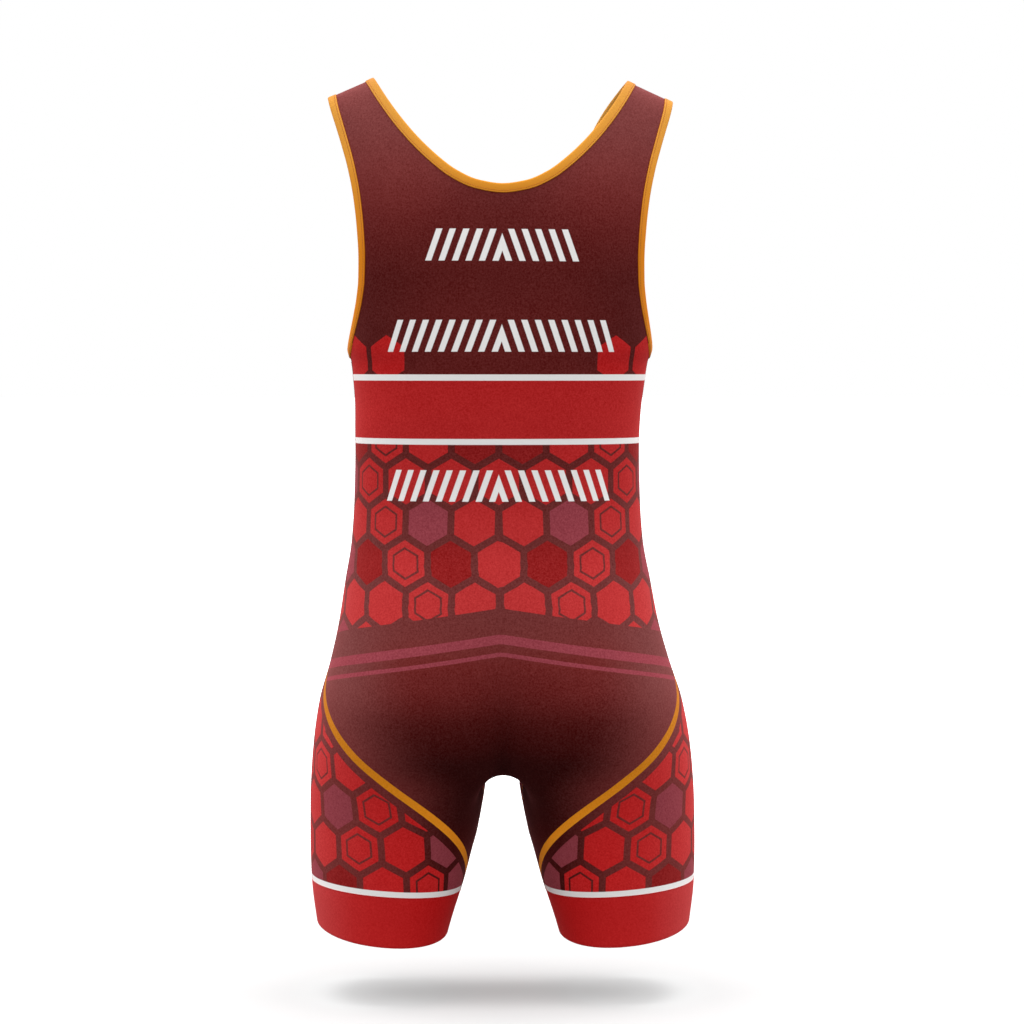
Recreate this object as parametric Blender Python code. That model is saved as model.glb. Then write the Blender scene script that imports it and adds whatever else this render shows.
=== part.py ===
"""A wrestling singlet in stretch cloth, filled out as worn, with no wearer in it.

Metres, +Z up. The wearer faces -Y, and +X is the wearer's left. The origin is between the two
shoulder straps, on the centre plane, level with the top of the straps.

The cloth lies on one smooth form: a trunk that parts into two legs below and rounds over into
the shoulders above. Back and front are each one wall on that form, with their straps and leg
halves. The bindings are strips folded over the neck and armhole edges, and the leg bands are
tubes that carry the legs on below the leg line.
"""

import math

import bmesh
import bpy
import numpy as np

MM = 0.001

# Cloth and sewing
CLOTH = 1.2 * MM                 # wall of the back and front panels
BAND_CLOTH = 1.6 * MM            # the leg band's doubled cloth
BINDING_CLOTH = 0.7 * MM         # one layer of the folded binding
BINDING_WIDTH = 8.0 * MM         # how far the binding reaches in from the raw edge
SEAM_GAP = 0.3 * MM              # what is left free between two pieces

# The form that the cloth is filled out to, from the neck down, in millimetres.
# side: reach of the side seam from the centre plane
# inner: reach of the leg's inner wall, minus the side where both halves are one trunk
# front, back: depth in front of and behind the side seams
# square: 2 is an ellipse, more is squarer
FORM = (
    # height  side   inner   front  back  square
    (60,     186.0, -186.0,   78,    84,   2.5),
    (-20,    184.0, -184.0,   90,    95,   2.5),
    (-60,    177.0, -177.0,   95,    99,   2.5),
    (-120,   167.5, -167.5,  100,   103,   2.5),
    (-190,   158.0, -158.0,  105,   105,   2.5),
    (-240,   153.4, -153.4,  107,   104,   2.5),
    (-262,   151.8, -151.8,  107,   103.5, 2.45),
    (-271,   150.0, -150.0,  107,   103.2, 2.45),
    (-284,   146.4, -146.4,  106.6, 102.5, 2.4),
    (-300,   144.4, -144.4,  106,   101,   2.4),
    (-330,   141.6, -141.6,  104,    98,   2.4),
    (-370,   140.7, -140.7,  101,    94,   2.35),
    (-420,   141.8, -141.8,   98,    92,   2.3),
    (-460,   144.6, -142.0,   97,    96,   2.3),
    (-500,   151.6, -130.0,   98,   105,   2.3),
    (-540,   158.6, -110.0,   99,   112.5, 2.3),
    (-580,   168.6,  -85.0,   99,   118.5, 2.3),
    (-620,   180.7,  -59.0,   97,   121,   2.25),
    (-660,   187.4,  -32.0,   94,   115,   2.2),
    (-690,   190.2,   -7.0,   90,   105,   2.15),
    (-722,   191.7,   15.0,   86,    96,   2.1),
    (-760,   192.0,   29.0,   82,    90,   2.1),
    (-800,   191.0,   40.0,   79,    86.5, 2.1),
    (-840,   186.4,   52.8,   76,    82,   2.1),
    (-880,   180.0,   64.0,   74,    79,   2.1),
)
HEIGHTS, SIDE, INNER, FRONT, BACK, SQUARE = (np.array(column[::-1]) for column in zip(*FORM))
CROTCH_FILLET = 0.35             # how softly the two halves run into each other

# The gap between the legs has a flat arch at its top: how much wider it is there, by height, in
# millimetres, within ARCH_DEEP of the seams, and not at all from ARCH_END on
ARCH = ((60, 0), (-688.3, 0), (-690.8, 9.6), (-693.3, 17.2), (-698, 17.6), (-706, 13.0),
        (-720, 6.4), (-740, 1.8), (-758, 0), (-880, 0))
ARCH_DEEP = 35.0 * MM
ARCH_END = 75.0 * MM

# The form stands a little to one side at the waist, as stretch cloth does. Heights in mm.
SWAY = ((60, 0), (-200, 0), (-300, 1.3), (-360, 3.2), (-440, 3.2), (-520, 2.2), (-600, 0.0),
        (-680, -1.6), (-800, -2.5), (-880, -3.0))
# The shoulders are a little lower on the wearer's right, and the chest is turned a little
TILT = 0.010                     # rise for each metre to the left
TWIST = 0.042                    # shift to the left for each metre in front of the seams
LEVEL_BELOW = -0.30              # neither is felt from here down
FULL_ABOVE = -0.08

# Shoulders: the seam slopes down from the neck side, and the form rounds over towards it
NECK_POINT = 126.0 * MM          # the strap's inner end on the shoulder seam
SHOULDER_TOP = -3.8 * MM         # the seam's height there
SHOULDER_SLOPE = math.tan(math.radians(24))
ROOF_START = -0.17               # height where the rounding over begins
ROOF_ROUND = 2.4

# Edges as seen from straight behind or in front, from the shoulder seam inwards: reach, height
NECKLINE = {
    "back": ((126.0, -3.8), (122.7, -9.5), (113.4, -25), (98.0, -47), (81.2, -67), (60.2, -87),
             (45.2, -98.2), (23.0, -108.2), (0, -111.6)),
    "front": ((126.0, -3.8), (121.4, -10), (109.0, -28), (97.5, -50), (87.0, -80), (73.0, -118),
              (52.0, -153), (27.0, -173), (0, -180)),
}
# From the shoulder seam down to the side seam: height, reach at the back, reach in front
ARMHOLE = ((-23.4, 170.0, 170.0), (-36, 166.4, 165.8), (-53, 160.8, 159.0), (-73, 154.6, 151.5),
           (-93, 149.0, 145.5), (-123, 143.0, 139.0), (-153, 139.6, 136.0), (-182, 138.0, 135.0),
           (-202, 138.3, 135.5), (-221, 140.3, 137.8), (-241, 144.0, 142.4), (-258, 147.6, 147.0),
           (-270.5, 150.1, 150.1))

# The leg line, where panel and band meet, and the hem: height at the side seam, how much the
# plane drops per metre towards the centre, and per metre towards the back
LEG_LINE = (-0.7985, 0.078, 0.0)
HEM = (-0.8398, 0.103, 0.105)
LEG_SIDE = 0.188                 # reach of the side seam where those heights are taken

# The crotch lies between these depths below the shoulder seams
CROTCH_LIMITS = (0.5, 0.75)
DEEPEST = 0.2                    # no part of the form is deeper than this

# Mesh: rows run from the leg line up to the shoulder seam, columns from the outer edge inwards
COLUMNS = 12
INSEAM_ROWS = 7
SIDE_ROWS = 27                   # from the leg line to the foot of the armhole
ROWS = 46
NECK_ROWS = {"back": 11, "front": 15}
BAND_ROWS = 3
FACING = {"back": 1, "front": -1}
FIRST_BULGE = 0.09               # depth given to the flat grid before it is laid on the form
SETTLE_ROUNDS = 250
MERGE = 0.01 * MM


# ---------------------------------------------------------------- the form


def curve_through(places, values, level_start=False):
    """A smooth curve through rising places that never swings past its values."""
    places, values = np.array(places, float), np.array(values, float)
    step = np.diff(places)
    rise = np.diff(values) / step
    first = 0.0 if level_start else rise[0]
    slope = np.concatenate(([first], np.zeros(len(step) - 1), [rise[-1]]))
    for k in range(1, len(step)):
        if rise[k - 1] * rise[k] > 0:
            before, after = 2 * step[k] + step[k - 1], step[k] + 2 * step[k - 1]
            slope[k] = (before + after) / (before / rise[k - 1] + after / rise[k])

    def value_at(place):
        k = np.clip(np.searchsorted(places, place) - 1, 0, len(step) - 1)
        t = (place - places[k]) / step[k]
        start = values[k] * (1 + 2 * t) + slope[k] * step[k] * t
        end = values[k + 1] * (3 - 2 * t) - slope[k + 1] * step[k] * (1 - t)
        return start * (1 - t) ** 2 + end * t ** 2

    return value_at


side_at = curve_through(HEIGHTS * MM, SIDE * MM)
inner_at = curve_through(HEIGHTS * MM, INNER * MM)
front_at = curve_through(HEIGHTS * MM, FRONT * MM)
back_at = curve_through(HEIGHTS * MM, BACK * MM)
square_at = curve_through(HEIGHTS * MM, SQUARE)
sway_at = curve_through(*np.array(SWAY[::-1]).T * MM)
arch_at = curve_through(*np.array(ARCH[::-1]).T * MM)


def shoulder_height(reach):
    """Height of the shoulder seam at this distance from the centre plane."""
    return SHOULDER_TOP + SHOULDER_SLOPE * (NECK_POINT - reach)


def inner_wall(y, z):
    """Reach of the leg's inner wall, with the arch at the top of the gap between the legs."""
    fade = np.clip((ARCH_END - np.abs(y)) / (ARCH_END - ARCH_DEEP), 0, 1)
    return inner_at(z) + arch_at(z) * fade ** 2 * (3 - 2 * fade)


def parts_of_form(points):
    """How far along its section each point lies: across, in depth and towards the shoulder."""
    x, y, z = np.abs(points[..., 0]), points[..., 1], points[..., 2]
    side, inner, square = side_at(z), inner_wall(y, z), square_at(z)
    axis, reach = np.maximum((side + inner) / 2, 0), (side - inner) / 2
    near = (np.abs(x - axis) / reach) ** square
    far = ((x + axis) / reach) ** square
    fillet = np.maximum(CROTCH_FILLET * np.clip(axis / reach, 0, 1), 1e-6)
    overlap = np.clip(1 - np.abs(near - far) / fillet, 0, 1)
    across = np.minimum(near, far) - fillet * overlap ** 2 / 4
    depth = np.where(y > 0, back_at(z), front_at(z))
    climb = np.clip((z - ROOF_START) / (shoulder_height(x) - ROOF_START), 0, None) ** ROOF_ROUND
    return across, (np.abs(y) / depth) ** square, climb


def form(points):
    """Below 0 inside the form, 0 on it, above 0 outside."""
    across, deep, climb = parts_of_form(points)
    return across + deep + (1 - across) * climb - 1


def slope_of_form(points):
    """The form's gradient, which points straight out of it."""
    reach = 0.2 * MM
    slopes = [form(points + step) - form(points - step) for step in np.eye(3) * reach]
    return np.stack(slopes, axis=-1) / (2 * reach)


def outward(points):
    slope = slope_of_form(points)
    return slope / np.linalg.norm(slope, axis=-1, keepdims=True)


def onto_form(points, rounds=3, longest=8 * MM):
    """The points moved straight in or out until they lie on the form."""
    for _ in range(rounds):
        slope = slope_of_form(points)
        move = slope * (form(points) / np.maximum((slope ** 2).sum(-1), 1e-6))[..., None]
        length = np.linalg.norm(move, axis=-1, keepdims=True)
        points = points - move * np.minimum(1, longest / np.maximum(length, 1e-9))
    return points


def meeting(function, low, high):
    """Where a rising function passes 0, for arrays of lower and upper limits."""
    low, high = np.array(low, float), np.array(high, float)
    for _ in range(40):
        middle = (low + high) / 2
        inside = function(middle) < 0
        low, high = np.where(inside, middle, low), np.where(inside, high, middle)
    return (low + high) / 2


def point(x, y, z):
    return np.stack(np.broadcast_arrays(x, y, z), axis=-1).astype(float)


def even_points(curve, count, gather=1.0):
    """Points along a curve with its ends among them, evenly or closer towards its end."""
    length = np.concatenate(([0], np.cumsum(np.linalg.norm(np.diff(curve, axis=0), axis=1))))
    places = length[-1] * (1 - (1 - np.linspace(0, 1, count + 1)) ** gather)
    return np.stack([np.interp(places, length, curve[:, axis]) for axis in range(3)], axis=-1)


# ---------------------------------------------------------------- edges and seams of one half


def seen_at(x, z, facing):
    """The point of the back or front that is seen at this reach and height."""
    across, _, climb = parts_of_form(point(x, 0, z))
    depth = back_at(z) if facing > 0 else front_at(z)
    deep = np.clip((1 - across) * (1 - climb), 0, None)
    return point(x, facing * depth * deep ** (1 / square_at(z)), z)


def leg_plane(plane, x, y):
    height, inwards, backwards = plane
    return height - inwards * (LEG_SIDE - x) - backwards * y


def leg_edge(plane, facing):
    """Half round one leg, from its side seam to its inseam, cut off at a plane."""
    turn = np.linspace(0, math.pi, 181)
    z = np.full_like(turn, plane[0])
    for _ in range(12):
        side, inner, power = side_at(z), inner_at(z), 2 / square_at(z)
        depth = back_at(z) if facing > 0 else front_at(z)
        cosine = np.cos(turn)
        x = (side + inner) / 2 + (side - inner) / 2 * np.sign(cosine) * np.abs(cosine) ** power
        y = facing * depth * np.sin(turn) ** power
        y[-1] = 0
        z = leg_plane(plane, x, y)
    return onto_form(point(x, y, z))


def crotch_height():
    return -float(meeting(lambda drop: form(point(0, 0, -drop)), *CROTCH_LIMITS))


def inseam(start):
    """From the leg line's inner end up the inner leg to the crotch, on the plane of the seams."""
    top = crotch_height()
    z = top - (top - start[2]) * np.linspace(1, 0, 121) ** 3
    axis = (side_at(z) + inner_at(z)) / 2
    x = meeting(lambda reach: form(point(axis - reach, 0, z)), 0 * axis, axis)
    x = axis - x
    x[-1] = 0
    return point(x, 0, z)


def centre_line(top, facing):
    """From the crotch up the middle of the back or front to this height."""
    bottom = crotch_height()
    z = bottom + (top - bottom) * np.linspace(0, 1, 301) ** 2.2
    y = facing * meeting(lambda reach: form(point(0, facing * reach, z)), 0 * z, 0 * z + DEEPEST)
    y[0] = 0
    return point(0, y, z)


def neck_edge(name):
    """The cut edge of the neck, from the centre up to the shoulder seam."""
    reach, height = np.array(NECKLINE[name][::-1], float).T * MM
    steps = np.concatenate(([0], np.cumsum(np.hypot(np.diff(reach), np.diff(height)))))
    along = steps[-1] * (1 - (1 - np.linspace(0, 1, 241)) ** 2)
    x, z = curve_through(steps, reach)(along), curve_through(steps, height, True)(along)
    edge = seen_at(x, z, FACING[name])
    edge[0, 0] = edge[-1, 1] = 0
    return edge


def armhole_edge(name):
    """The cut edge of the armhole, from the side seam up to the shoulder seam."""
    heights, back_reach, front_reach = np.array(ARMHOLE[::-1], float).T * MM
    reach = back_reach if name == "back" else front_reach
    along = np.linspace(0, 1, 301)
    z = heights[0] + (heights[-1] - heights[0]) * (1 - (1 - along ** 2.4) ** 1.6)
    edge = seen_at(curve_through(heights, reach)(z), z, FACING[name])
    edge[0, 1] = edge[-1, 1] = 0
    return edge


def inset(edge, inwards, width):
    """The edge moved in along the cloth by the binding's width."""
    along = np.gradient(edge, axis=0)
    across = np.cross(outward(edge), along)
    across *= inwards / np.linalg.norm(across, axis=-1, keepdims=True)
    line = onto_form(edge + across * width)
    for end in (0, -1):
        if abs(edge[end, 1]) < 1e-9:
            line[end, 1] = 0
    return line


# ---------------------------------------------------------------- panels


def half_panel(name):
    """The wearer's left half of a panel: its inner grid, and the two bound edges."""
    facing = FACING[name]
    neck_rows = NECK_ROWS[name]
    arm_cut = even_points(armhole_edge(name), ROWS - SIDE_ROWS)
    arm_in = inset(arm_cut, -facing, BINDING_WIDTH)
    neck_cut = even_points(neck_edge(name), neck_rows)
    neck_in = inset(neck_cut, facing, BINDING_WIDTH)
    neck_in[0, 0] = 0

    leg_line = even_points(leg_edge(LEG_LINE, facing), COLUMNS)
    side_z = np.linspace(leg_line[0, 2], arm_in[0, 2], 201)
    side_seam = even_points(point(side_at(side_z), 0, side_z), SIDE_ROWS)
    middle = even_points(centre_line(neck_in[0, 2], facing), ROWS - INSEAM_ROWS - neck_rows)
    inner_leg = even_points(inseam(leg_line[-1]), INSEAM_ROWS, gather=1.7)
    shoulder_seam = np.linspace(arm_in[-1], neck_in[-1], COLUMNS + 1)

    outer = np.concatenate((side_seam[:-1], arm_in))
    inner = np.concatenate((inner_leg[:-1], middle[:-1], neck_in))
    share = np.linspace(0, 1, COLUMNS + 1)[None, :, None]
    grid = outer[:, None] * (1 - share) + inner[:, None] * share
    grid[:, :, 1] += facing * FIRST_BULGE * np.sin(math.pi * share[..., 0])
    grid[0], grid[-1] = leg_line, shoulder_seam
    grid[1:-1, 1:-1] = onto_form(grid[1:-1, 1:-1], rounds=30)
    for _ in range(SETTLE_ROUNDS):
        across = grid[1:-1, :-2] + grid[1:-1, 2:]
        along = grid[:-2, 1:-1] + grid[2:, 1:-1]
        grid[1:-1, 1:-1] = onto_form((across + along) / 4, rounds=1)
    return grid, arm_cut, neck_cut


def moved_apart(points, facing):
    """Half a seam gap away from the plane that the side, shoulder and leg seams lie on."""
    return points + np.array([0, facing * SEAM_GAP / 2, 0])


def strip_faces(cut, turn_in, facing):
    """Triangles between an edge and its inset, split the way that the binding over it is."""
    first, second = (cut, turn_in) if facing > 0 else (turn_in, cut)
    faces = []
    for k in range(len(first) - 1):
        faces.append((first[k], first[k + 1], second[k + 1]))
        faces.append((first[k], second[k + 1], second[k]))
    return faces


def grid_faces(grid, number):
    """Triangles over a grid, each of its cells split along its shorter diagonal."""
    rising = np.linalg.norm(grid[1:, 1:] - grid[:-1, :-1], axis=-1)
    falling = np.linalg.norm(grid[1:, :-1] - grid[:-1, 1:], axis=-1)
    faces = []
    for row, column in np.ndindex(rising.shape):
        a, b = number[row, column], number[row, column + 1]
        c, d = number[row + 1, column + 1], number[row + 1, column]
        split = rising[row, column] < falling[row, column]
        faces += [(a, b, c), (a, c, d)] if split else [(a, b, d), (b, c, d)]
    return faces


def panel_sheet(name):
    """A panel's middle surface, on the form: points and faces, both halves."""
    grid, arm_cut, neck_cut = half_panel(name)
    rows, columns = grid.shape[:2]
    number = np.arange(rows * columns).reshape(rows, columns)
    arm_number = rows * columns + np.arange(len(arm_cut))
    neck_number = arm_number[-1] + 1 + np.arange(len(neck_cut))
    points = np.concatenate((grid.reshape(-1, 3), arm_cut, neck_cut))
    faces = grid_faces(grid, number)
    faces += strip_faces(arm_number, number[-len(arm_cut):, 0], FACING[name])
    faces += strip_faces(neck_number, number[-len(neck_cut):, -1], FACING[name])
    mirrored = [tuple(len(points) + corner for corner in face) for face in faces]
    return np.concatenate((points, points * (-1, 1, 1))), faces + mirrored


def swayed(points):
    """The finished place of points on the form, with its lean and the turn of its shoulders."""
    x, y, z = points[..., 0], points[..., 1], points[..., 2]
    high = np.clip((z - LEVEL_BELOW) / (FULL_ABOVE - LEVEL_BELOW), 0, 1)
    high = high ** 2 * (3 - 2 * high)
    return points + point(sway_at(z) - TWIST * high * np.minimum(y, 0), 0, TILT * high * x)


def wall(points, faces, thickness, facing):
    """A closed wall of even thickness about a sheet, whose rim is closed as well."""
    sheet = bmesh.new()
    corners = [sheet.verts.new(place) for place in points]
    for face in faces:
        sheet.faces.new([corners[k] for k in face])
    bmesh.ops.remove_doubles(sheet, verts=sheet.verts, dist=MERGE)
    sheet.verts.index_update()
    places = np.array([vert.co for vert in sheet.verts])
    out = outward(places)
    middle = moved_apart(places, facing)
    outer = swayed(middle + out * thickness / 2)
    inner = swayed(middle - out * thickness / 2)

    body = bmesh.new()
    outer_verts = [body.verts.new(place) for place in outer]
    inner_verts = [body.verts.new(place) for place in inner]
    for face in sheet.faces:
        numbers = [vert.index for vert in face.verts]
        body.faces.new([outer_verts[k] for k in numbers])
        body.faces.new([inner_verts[k] for k in reversed(numbers)])
    for edge in sheet.edges:
        if len(edge.link_faces) == 1:
            a, b = (vert.index for vert in edge.verts)
            body.faces.new((outer_verts[a], outer_verts[b], inner_verts[b], inner_verts[a]))
    sheet.free()
    return body


# ---------------------------------------------------------------- bindings and leg bands


# The stretches of the section below that start at the binding's inner edge: each is split
# from the cut edge here to the inner edge at the next station, as the cloth under it is
TURN_IN_FIRST = (0, 6)


def fold_section(cut, turn_in):
    """The folded strip's section at each station of an edge: ten points round the cut cloth."""
    into = turn_in - cut
    into /= np.linalg.norm(into, axis=-1, keepdims=True)
    at_cut, at_in = outward(cut), outward(turn_in)
    near = CLOTH / 2 + SEAM_GAP
    far = near + BINDING_CLOTH
    fold = SEAM_GAP + BINDING_CLOTH
    section = [
        turn_in + at_in * far,
        cut + at_cut * far,
        cut - into * fold + at_cut * far * 0.5,
        cut - into * fold - at_cut * far * 0.5,
        cut - at_cut * far,
        turn_in - at_in * far,
        turn_in - at_in * near,
        cut - into * SEAM_GAP - at_cut * near,
        cut - into * SEAM_GAP + at_cut * near,
        turn_in + at_in * near,
    ]
    return np.stack(section, axis=1)


def skin(body, sections, closed):
    """Triangles round sections that follow each other, once round a loop if it is closed."""
    rings = [[body.verts.new(place) for place in section] for section in sections]
    pairs = list(zip(rings, rings[1:] + rings[:1]))
    for here, after in pairs if closed else pairs[:-1]:
        for k in range(len(here)):
            j = (k + 1) % len(here)
            if k in TURN_IN_FIRST:
                body.faces.new((here[k], here[j], after[k]))
                body.faces.new((here[j], after[j], after[k]))
            else:
                body.faces.new((here[k], here[j], after[j]))
                body.faces.new((here[k], after[j], after[k]))


def closed_ring(sections):
    """A closed body through sections that follow each other round a loop."""
    body = bmesh.new()
    skin(body, sections, closed=True)
    return body


def mirrored_ring(sections):
    """A closed body from half a loop that starts and ends on the centre plane."""
    body = bmesh.new()
    skin(body, swayed(sections), closed=False)
    skin(body, swayed(sections * (-1, 1, 1)), closed=False)
    bmesh.ops.remove_doubles(body, verts=body.verts, dist=MERGE)
    return body


def edge_stations(name):
    """Sections of the armhole and neck bindings on the wearer's left half of one panel."""
    grid, arm_cut, neck_cut = half_panel(name)
    facing = FACING[name]
    arm = moved_apart(fold_section(arm_cut, grid[-len(arm_cut):, 0]), facing)
    neck = moved_apart(fold_section(neck_cut, grid[-len(neck_cut):, -1]), facing)
    return arm, neck


def joined(back, front, both_ends):
    """Back stations up to the shoulder seam and front ones down again, shared at the seam."""
    top = (back[-1:] + front[-1:]) / 2
    foot = (back[:1] + front[:1]) / 2 if both_ends else back[:1]
    tail = front[-2:0:-1] if both_ends else front[-2::-1]
    return np.concatenate((foot, back[1:-1], top, tail))


def leg_band():
    """The wearer's left band: a tube from just below the leg line to the hem."""
    rows = []
    for share in np.linspace(0, 1, BAND_ROWS + 1):
        plane = [(1 - share) * a + share * b for a, b in zip(LEG_LINE, HEM)]
        plane[0] -= SEAM_GAP * (1 - share)
        back = even_points(leg_edge(plane, 1), COLUMNS)
        front = even_points(leg_edge(plane, -1), COLUMNS)
        rows.append(np.concatenate((back, front[-2:0:-1])))
    middle = np.array(rows)
    out = outward(middle)
    outer, inner = middle + out * BAND_CLOTH / 2, middle - out * BAND_CLOTH / 2
    sections = np.concatenate((outer, inner[::-1])).transpose(1, 0, 2)
    return sections


# ---------------------------------------------------------------- objects


def cloth_material(name, colour, roughness):
    material = bpy.data.materials.new(name)
    material.use_nodes = True
    shader = material.node_tree.nodes["Principled BSDF"]
    shader.inputs["Base Color"].default_value = (*colour, 1)
    shader.inputs["Roughness"].default_value = roughness
    shader.inputs["Metallic"].default_value = 0
    material.diffuse_color = (*colour, 1)
    return material


def add_piece(name, body, material):
    """An object of the scene from a closed body, with its faces turned outwards."""
    bmesh.ops.recalc_face_normals(body, faces=body.faces)
    mesh = bpy.data.meshes.new(name)
    body.to_mesh(mesh)
    body.free()
    mesh.materials.append(material)
    mesh.shade_smooth()
    mesh.set_sharp_from_angle(angle=math.radians(50))
    piece = bpy.data.objects.new(name, mesh)
    bpy.context.collection.objects.link(piece)
    return piece


def add_panel(name, material):
    points, faces = panel_sheet(name)
    add_piece(name + "_panel", wall(points, faces, CLOTH, FACING[name]), material)


def add_bindings(material):
    back_arm, back_neck = edge_stations("back")
    front_arm, front_neck = edge_stations("front")
    arm = joined(back_arm, front_arm, both_ends=True)
    half_neck = joined(back_neck, front_neck, both_ends=False)
    add_piece("armhole_binding_left", closed_ring(swayed(arm)), material)
    add_piece("armhole_binding_right", closed_ring(swayed(arm * (-1, 1, 1))), material)
    add_piece("neck_binding", mirrored_ring(half_neck), material)


def add_leg_bands(material):
    band = leg_band()
    add_piece("leg_band_left", closed_ring(swayed(band)), material)
    add_piece("leg_band_right", closed_ring(swayed(band * (-1, 1, 1))), material)


def main():
    for leftover in list(bpy.data.objects):
        bpy.data.objects.remove(leftover, do_unlink=True)
    maroon = cloth_material("maroon_cloth", (0.10, 0.016, 0.016), 0.75)
    red = cloth_material("red_cloth", (0.42, 0.020, 0.022), 0.7)
    gold = cloth_material("gold_binding", (0.56, 0.26, 0.035), 0.65)
    add_panel("back", maroon)
    add_panel("front", maroon)
    add_bindings(gold)
    add_leg_bands(red)


main()
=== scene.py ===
"""A wrestling singlet in printed stretch cloth, filled out as worn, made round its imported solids.

Metres, +Z up. The wearer faces -Y, and +X is the wearer's left. Every cloth piece lies on one
smooth form, the same one that the solids are made on, in a finer mesh. The stitches are laid
along the seams by Geometry Nodes.
"""

import math

import bmesh
import bpy
import numpy as np
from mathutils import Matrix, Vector


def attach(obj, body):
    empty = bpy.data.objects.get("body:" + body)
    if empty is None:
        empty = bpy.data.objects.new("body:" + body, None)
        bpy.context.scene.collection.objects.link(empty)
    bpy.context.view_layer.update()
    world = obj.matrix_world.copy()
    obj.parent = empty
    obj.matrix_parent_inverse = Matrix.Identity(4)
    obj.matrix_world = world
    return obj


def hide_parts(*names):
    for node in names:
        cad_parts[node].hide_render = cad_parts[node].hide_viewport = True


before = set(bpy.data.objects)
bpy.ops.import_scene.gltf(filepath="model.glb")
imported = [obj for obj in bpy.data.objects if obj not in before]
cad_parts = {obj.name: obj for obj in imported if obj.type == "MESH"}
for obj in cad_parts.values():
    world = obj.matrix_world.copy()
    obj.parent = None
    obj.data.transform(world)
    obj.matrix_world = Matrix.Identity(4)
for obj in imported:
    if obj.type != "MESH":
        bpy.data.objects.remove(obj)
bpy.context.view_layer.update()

MM = 0.001
MIRROR = (-1, 1, 1)              # the wearer's left half to the right

# Cloth and sewing, as in the solids
CLOTH = 1.2 * MM
BAND_CLOTH = 1.6 * MM
BINDING_WIDTH = 8.0 * MM
SEAM_GAP = 0.04 * MM              # the seams are drawn closed

# The form that the cloth is filled out to, from the neck down, in millimetres.
# side: reach of the side seam from the centre plane
# inner: reach of the leg's inner wall, minus the side where both halves are one trunk
# front, back: depth in front of and behind the side seams
# square: 2 is an ellipse, more is squarer
FORM = (
    # height  side   inner   front  back  square
    (60,     186.0, -186.0,   78,    84,   2.5),
    (-20,    184.0, -184.0,   90,    95,   2.5),
    (-60,    177.0, -177.0,   95,    99,   2.5),
    (-120,   167.5, -167.5,  100,   103,   2.5),
    (-190,   158.0, -158.0,  105,   105,   2.5),
    (-240,   153.4, -153.4,  107,   104,   2.5),
    (-262,   151.8, -151.8,  107,   103.5, 2.45),
    (-271,   150.0, -150.0,  107,   103.2, 2.45),
    (-284,   146.4, -146.4,  106.6, 102.5, 2.4),
    (-300,   144.4, -144.4,  106,   101,   2.4),
    (-330,   141.6, -141.6,  104,    98,   2.4),
    (-370,   140.7, -140.7,  101,    94,   2.35),
    (-420,   141.8, -141.8,   98,    92,   2.3),
    (-460,   144.6, -142.0,   97,    96,   2.3),
    (-500,   151.6, -130.0,   98,   105,   2.3),
    (-540,   158.6, -110.0,   99,   112.5, 2.3),
    (-580,   168.6,  -85.0,   99,   118.5, 2.3),
    (-620,   180.7,  -59.0,   97,   121,   2.25),
    (-660,   187.4,  -32.0,   94,   115,   2.2),
    (-690,   190.2,   -7.0,   90,   105,   2.15),
    (-722,   191.7,   15.0,   86,    96,   2.1),
    (-760,   192.0,   29.0,   82,    90,   2.1),
    (-800,   191.0,   40.0,   79,    86.5, 2.1),
    (-840,   186.4,   52.8,   76,    82,   2.1),
    (-880,   180.0,   64.0,   74,    79,   2.1),
)
HEIGHTS, SIDE, INNER, FRONT, BACK, SQUARE = (np.array(column[::-1]) for column in zip(*FORM))
CROTCH_FILLET = 0.35             # how softly the two halves run into each other

# The gap between the legs has a flat arch at its top: how much wider it is there, by height
ARCH = ((60, 0), (-688.3, 0), (-690.8, 9.6), (-693.3, 17.2), (-698, 17.6), (-706, 13.0),
        (-720, 6.4), (-740, 1.8), (-758, 0), (-880, 0))
ARCH_DEEP = 35.0 * MM
ARCH_END = 75.0 * MM

# The form stands a little to one side at the waist, as stretch cloth does. Heights in mm.
SWAY = ((60, 0), (-200, 0), (-300, 1.3), (-360, 3.2), (-440, 3.2), (-520, 2.2), (-600, 0.0),
        (-680, -1.6), (-800, -2.5), (-880, -3.0))
# The shoulders are a little lower on the wearer's right, and the chest is turned a little
TILT = 0.010                     # rise for each metre to the left
TWIST = 0.042                    # shift to the left for each metre in front of the seams
LEVEL_BELOW = -0.30              # neither is felt from here down
FULL_ABOVE = -0.08

NECK_POINT = 126.0 * MM          # the strap's inner end on the shoulder seam
SHOULDER_TOP = -3.8 * MM         # the seam's height there
SHOULDER_SLOPE = math.tan(math.radians(24))
ROOF_START = -0.17               # height where the form begins to round over to the shoulder
ROOF_ROUND = 2.4

# Edges as seen from straight behind or in front, from the shoulder seam inwards: reach, height
NECKLINE = {
    "back": ((126.0, -3.8), (122.7, -9.5), (113.4, -25), (98.0, -47), (81.2, -67), (60.2, -87),
             (45.2, -98.2), (23.0, -108.2), (0, -111.6)),
    "front": ((126.0, -3.8), (121.4, -10), (109.0, -28), (97.5, -50), (87.0, -80), (73.0, -118),
              (52.0, -153), (27.0, -173), (0, -180)),
}
# From the shoulder seam down to the side seam: height, reach at the back, reach in front
ARMHOLE = ((-23.4, 170.0, 170.0), (-36, 166.4, 165.8), (-53, 160.8, 159.0), (-73, 154.6, 151.5),
           (-93, 149.0, 145.5), (-123, 143.0, 139.0), (-153, 139.6, 136.0), (-182, 138.0, 135.0),
           (-202, 138.3, 135.5), (-221, 140.3, 137.8), (-241, 144.0, 142.4), (-258, 147.6, 147.0),
           (-270.5, 150.1, 150.1))

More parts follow.
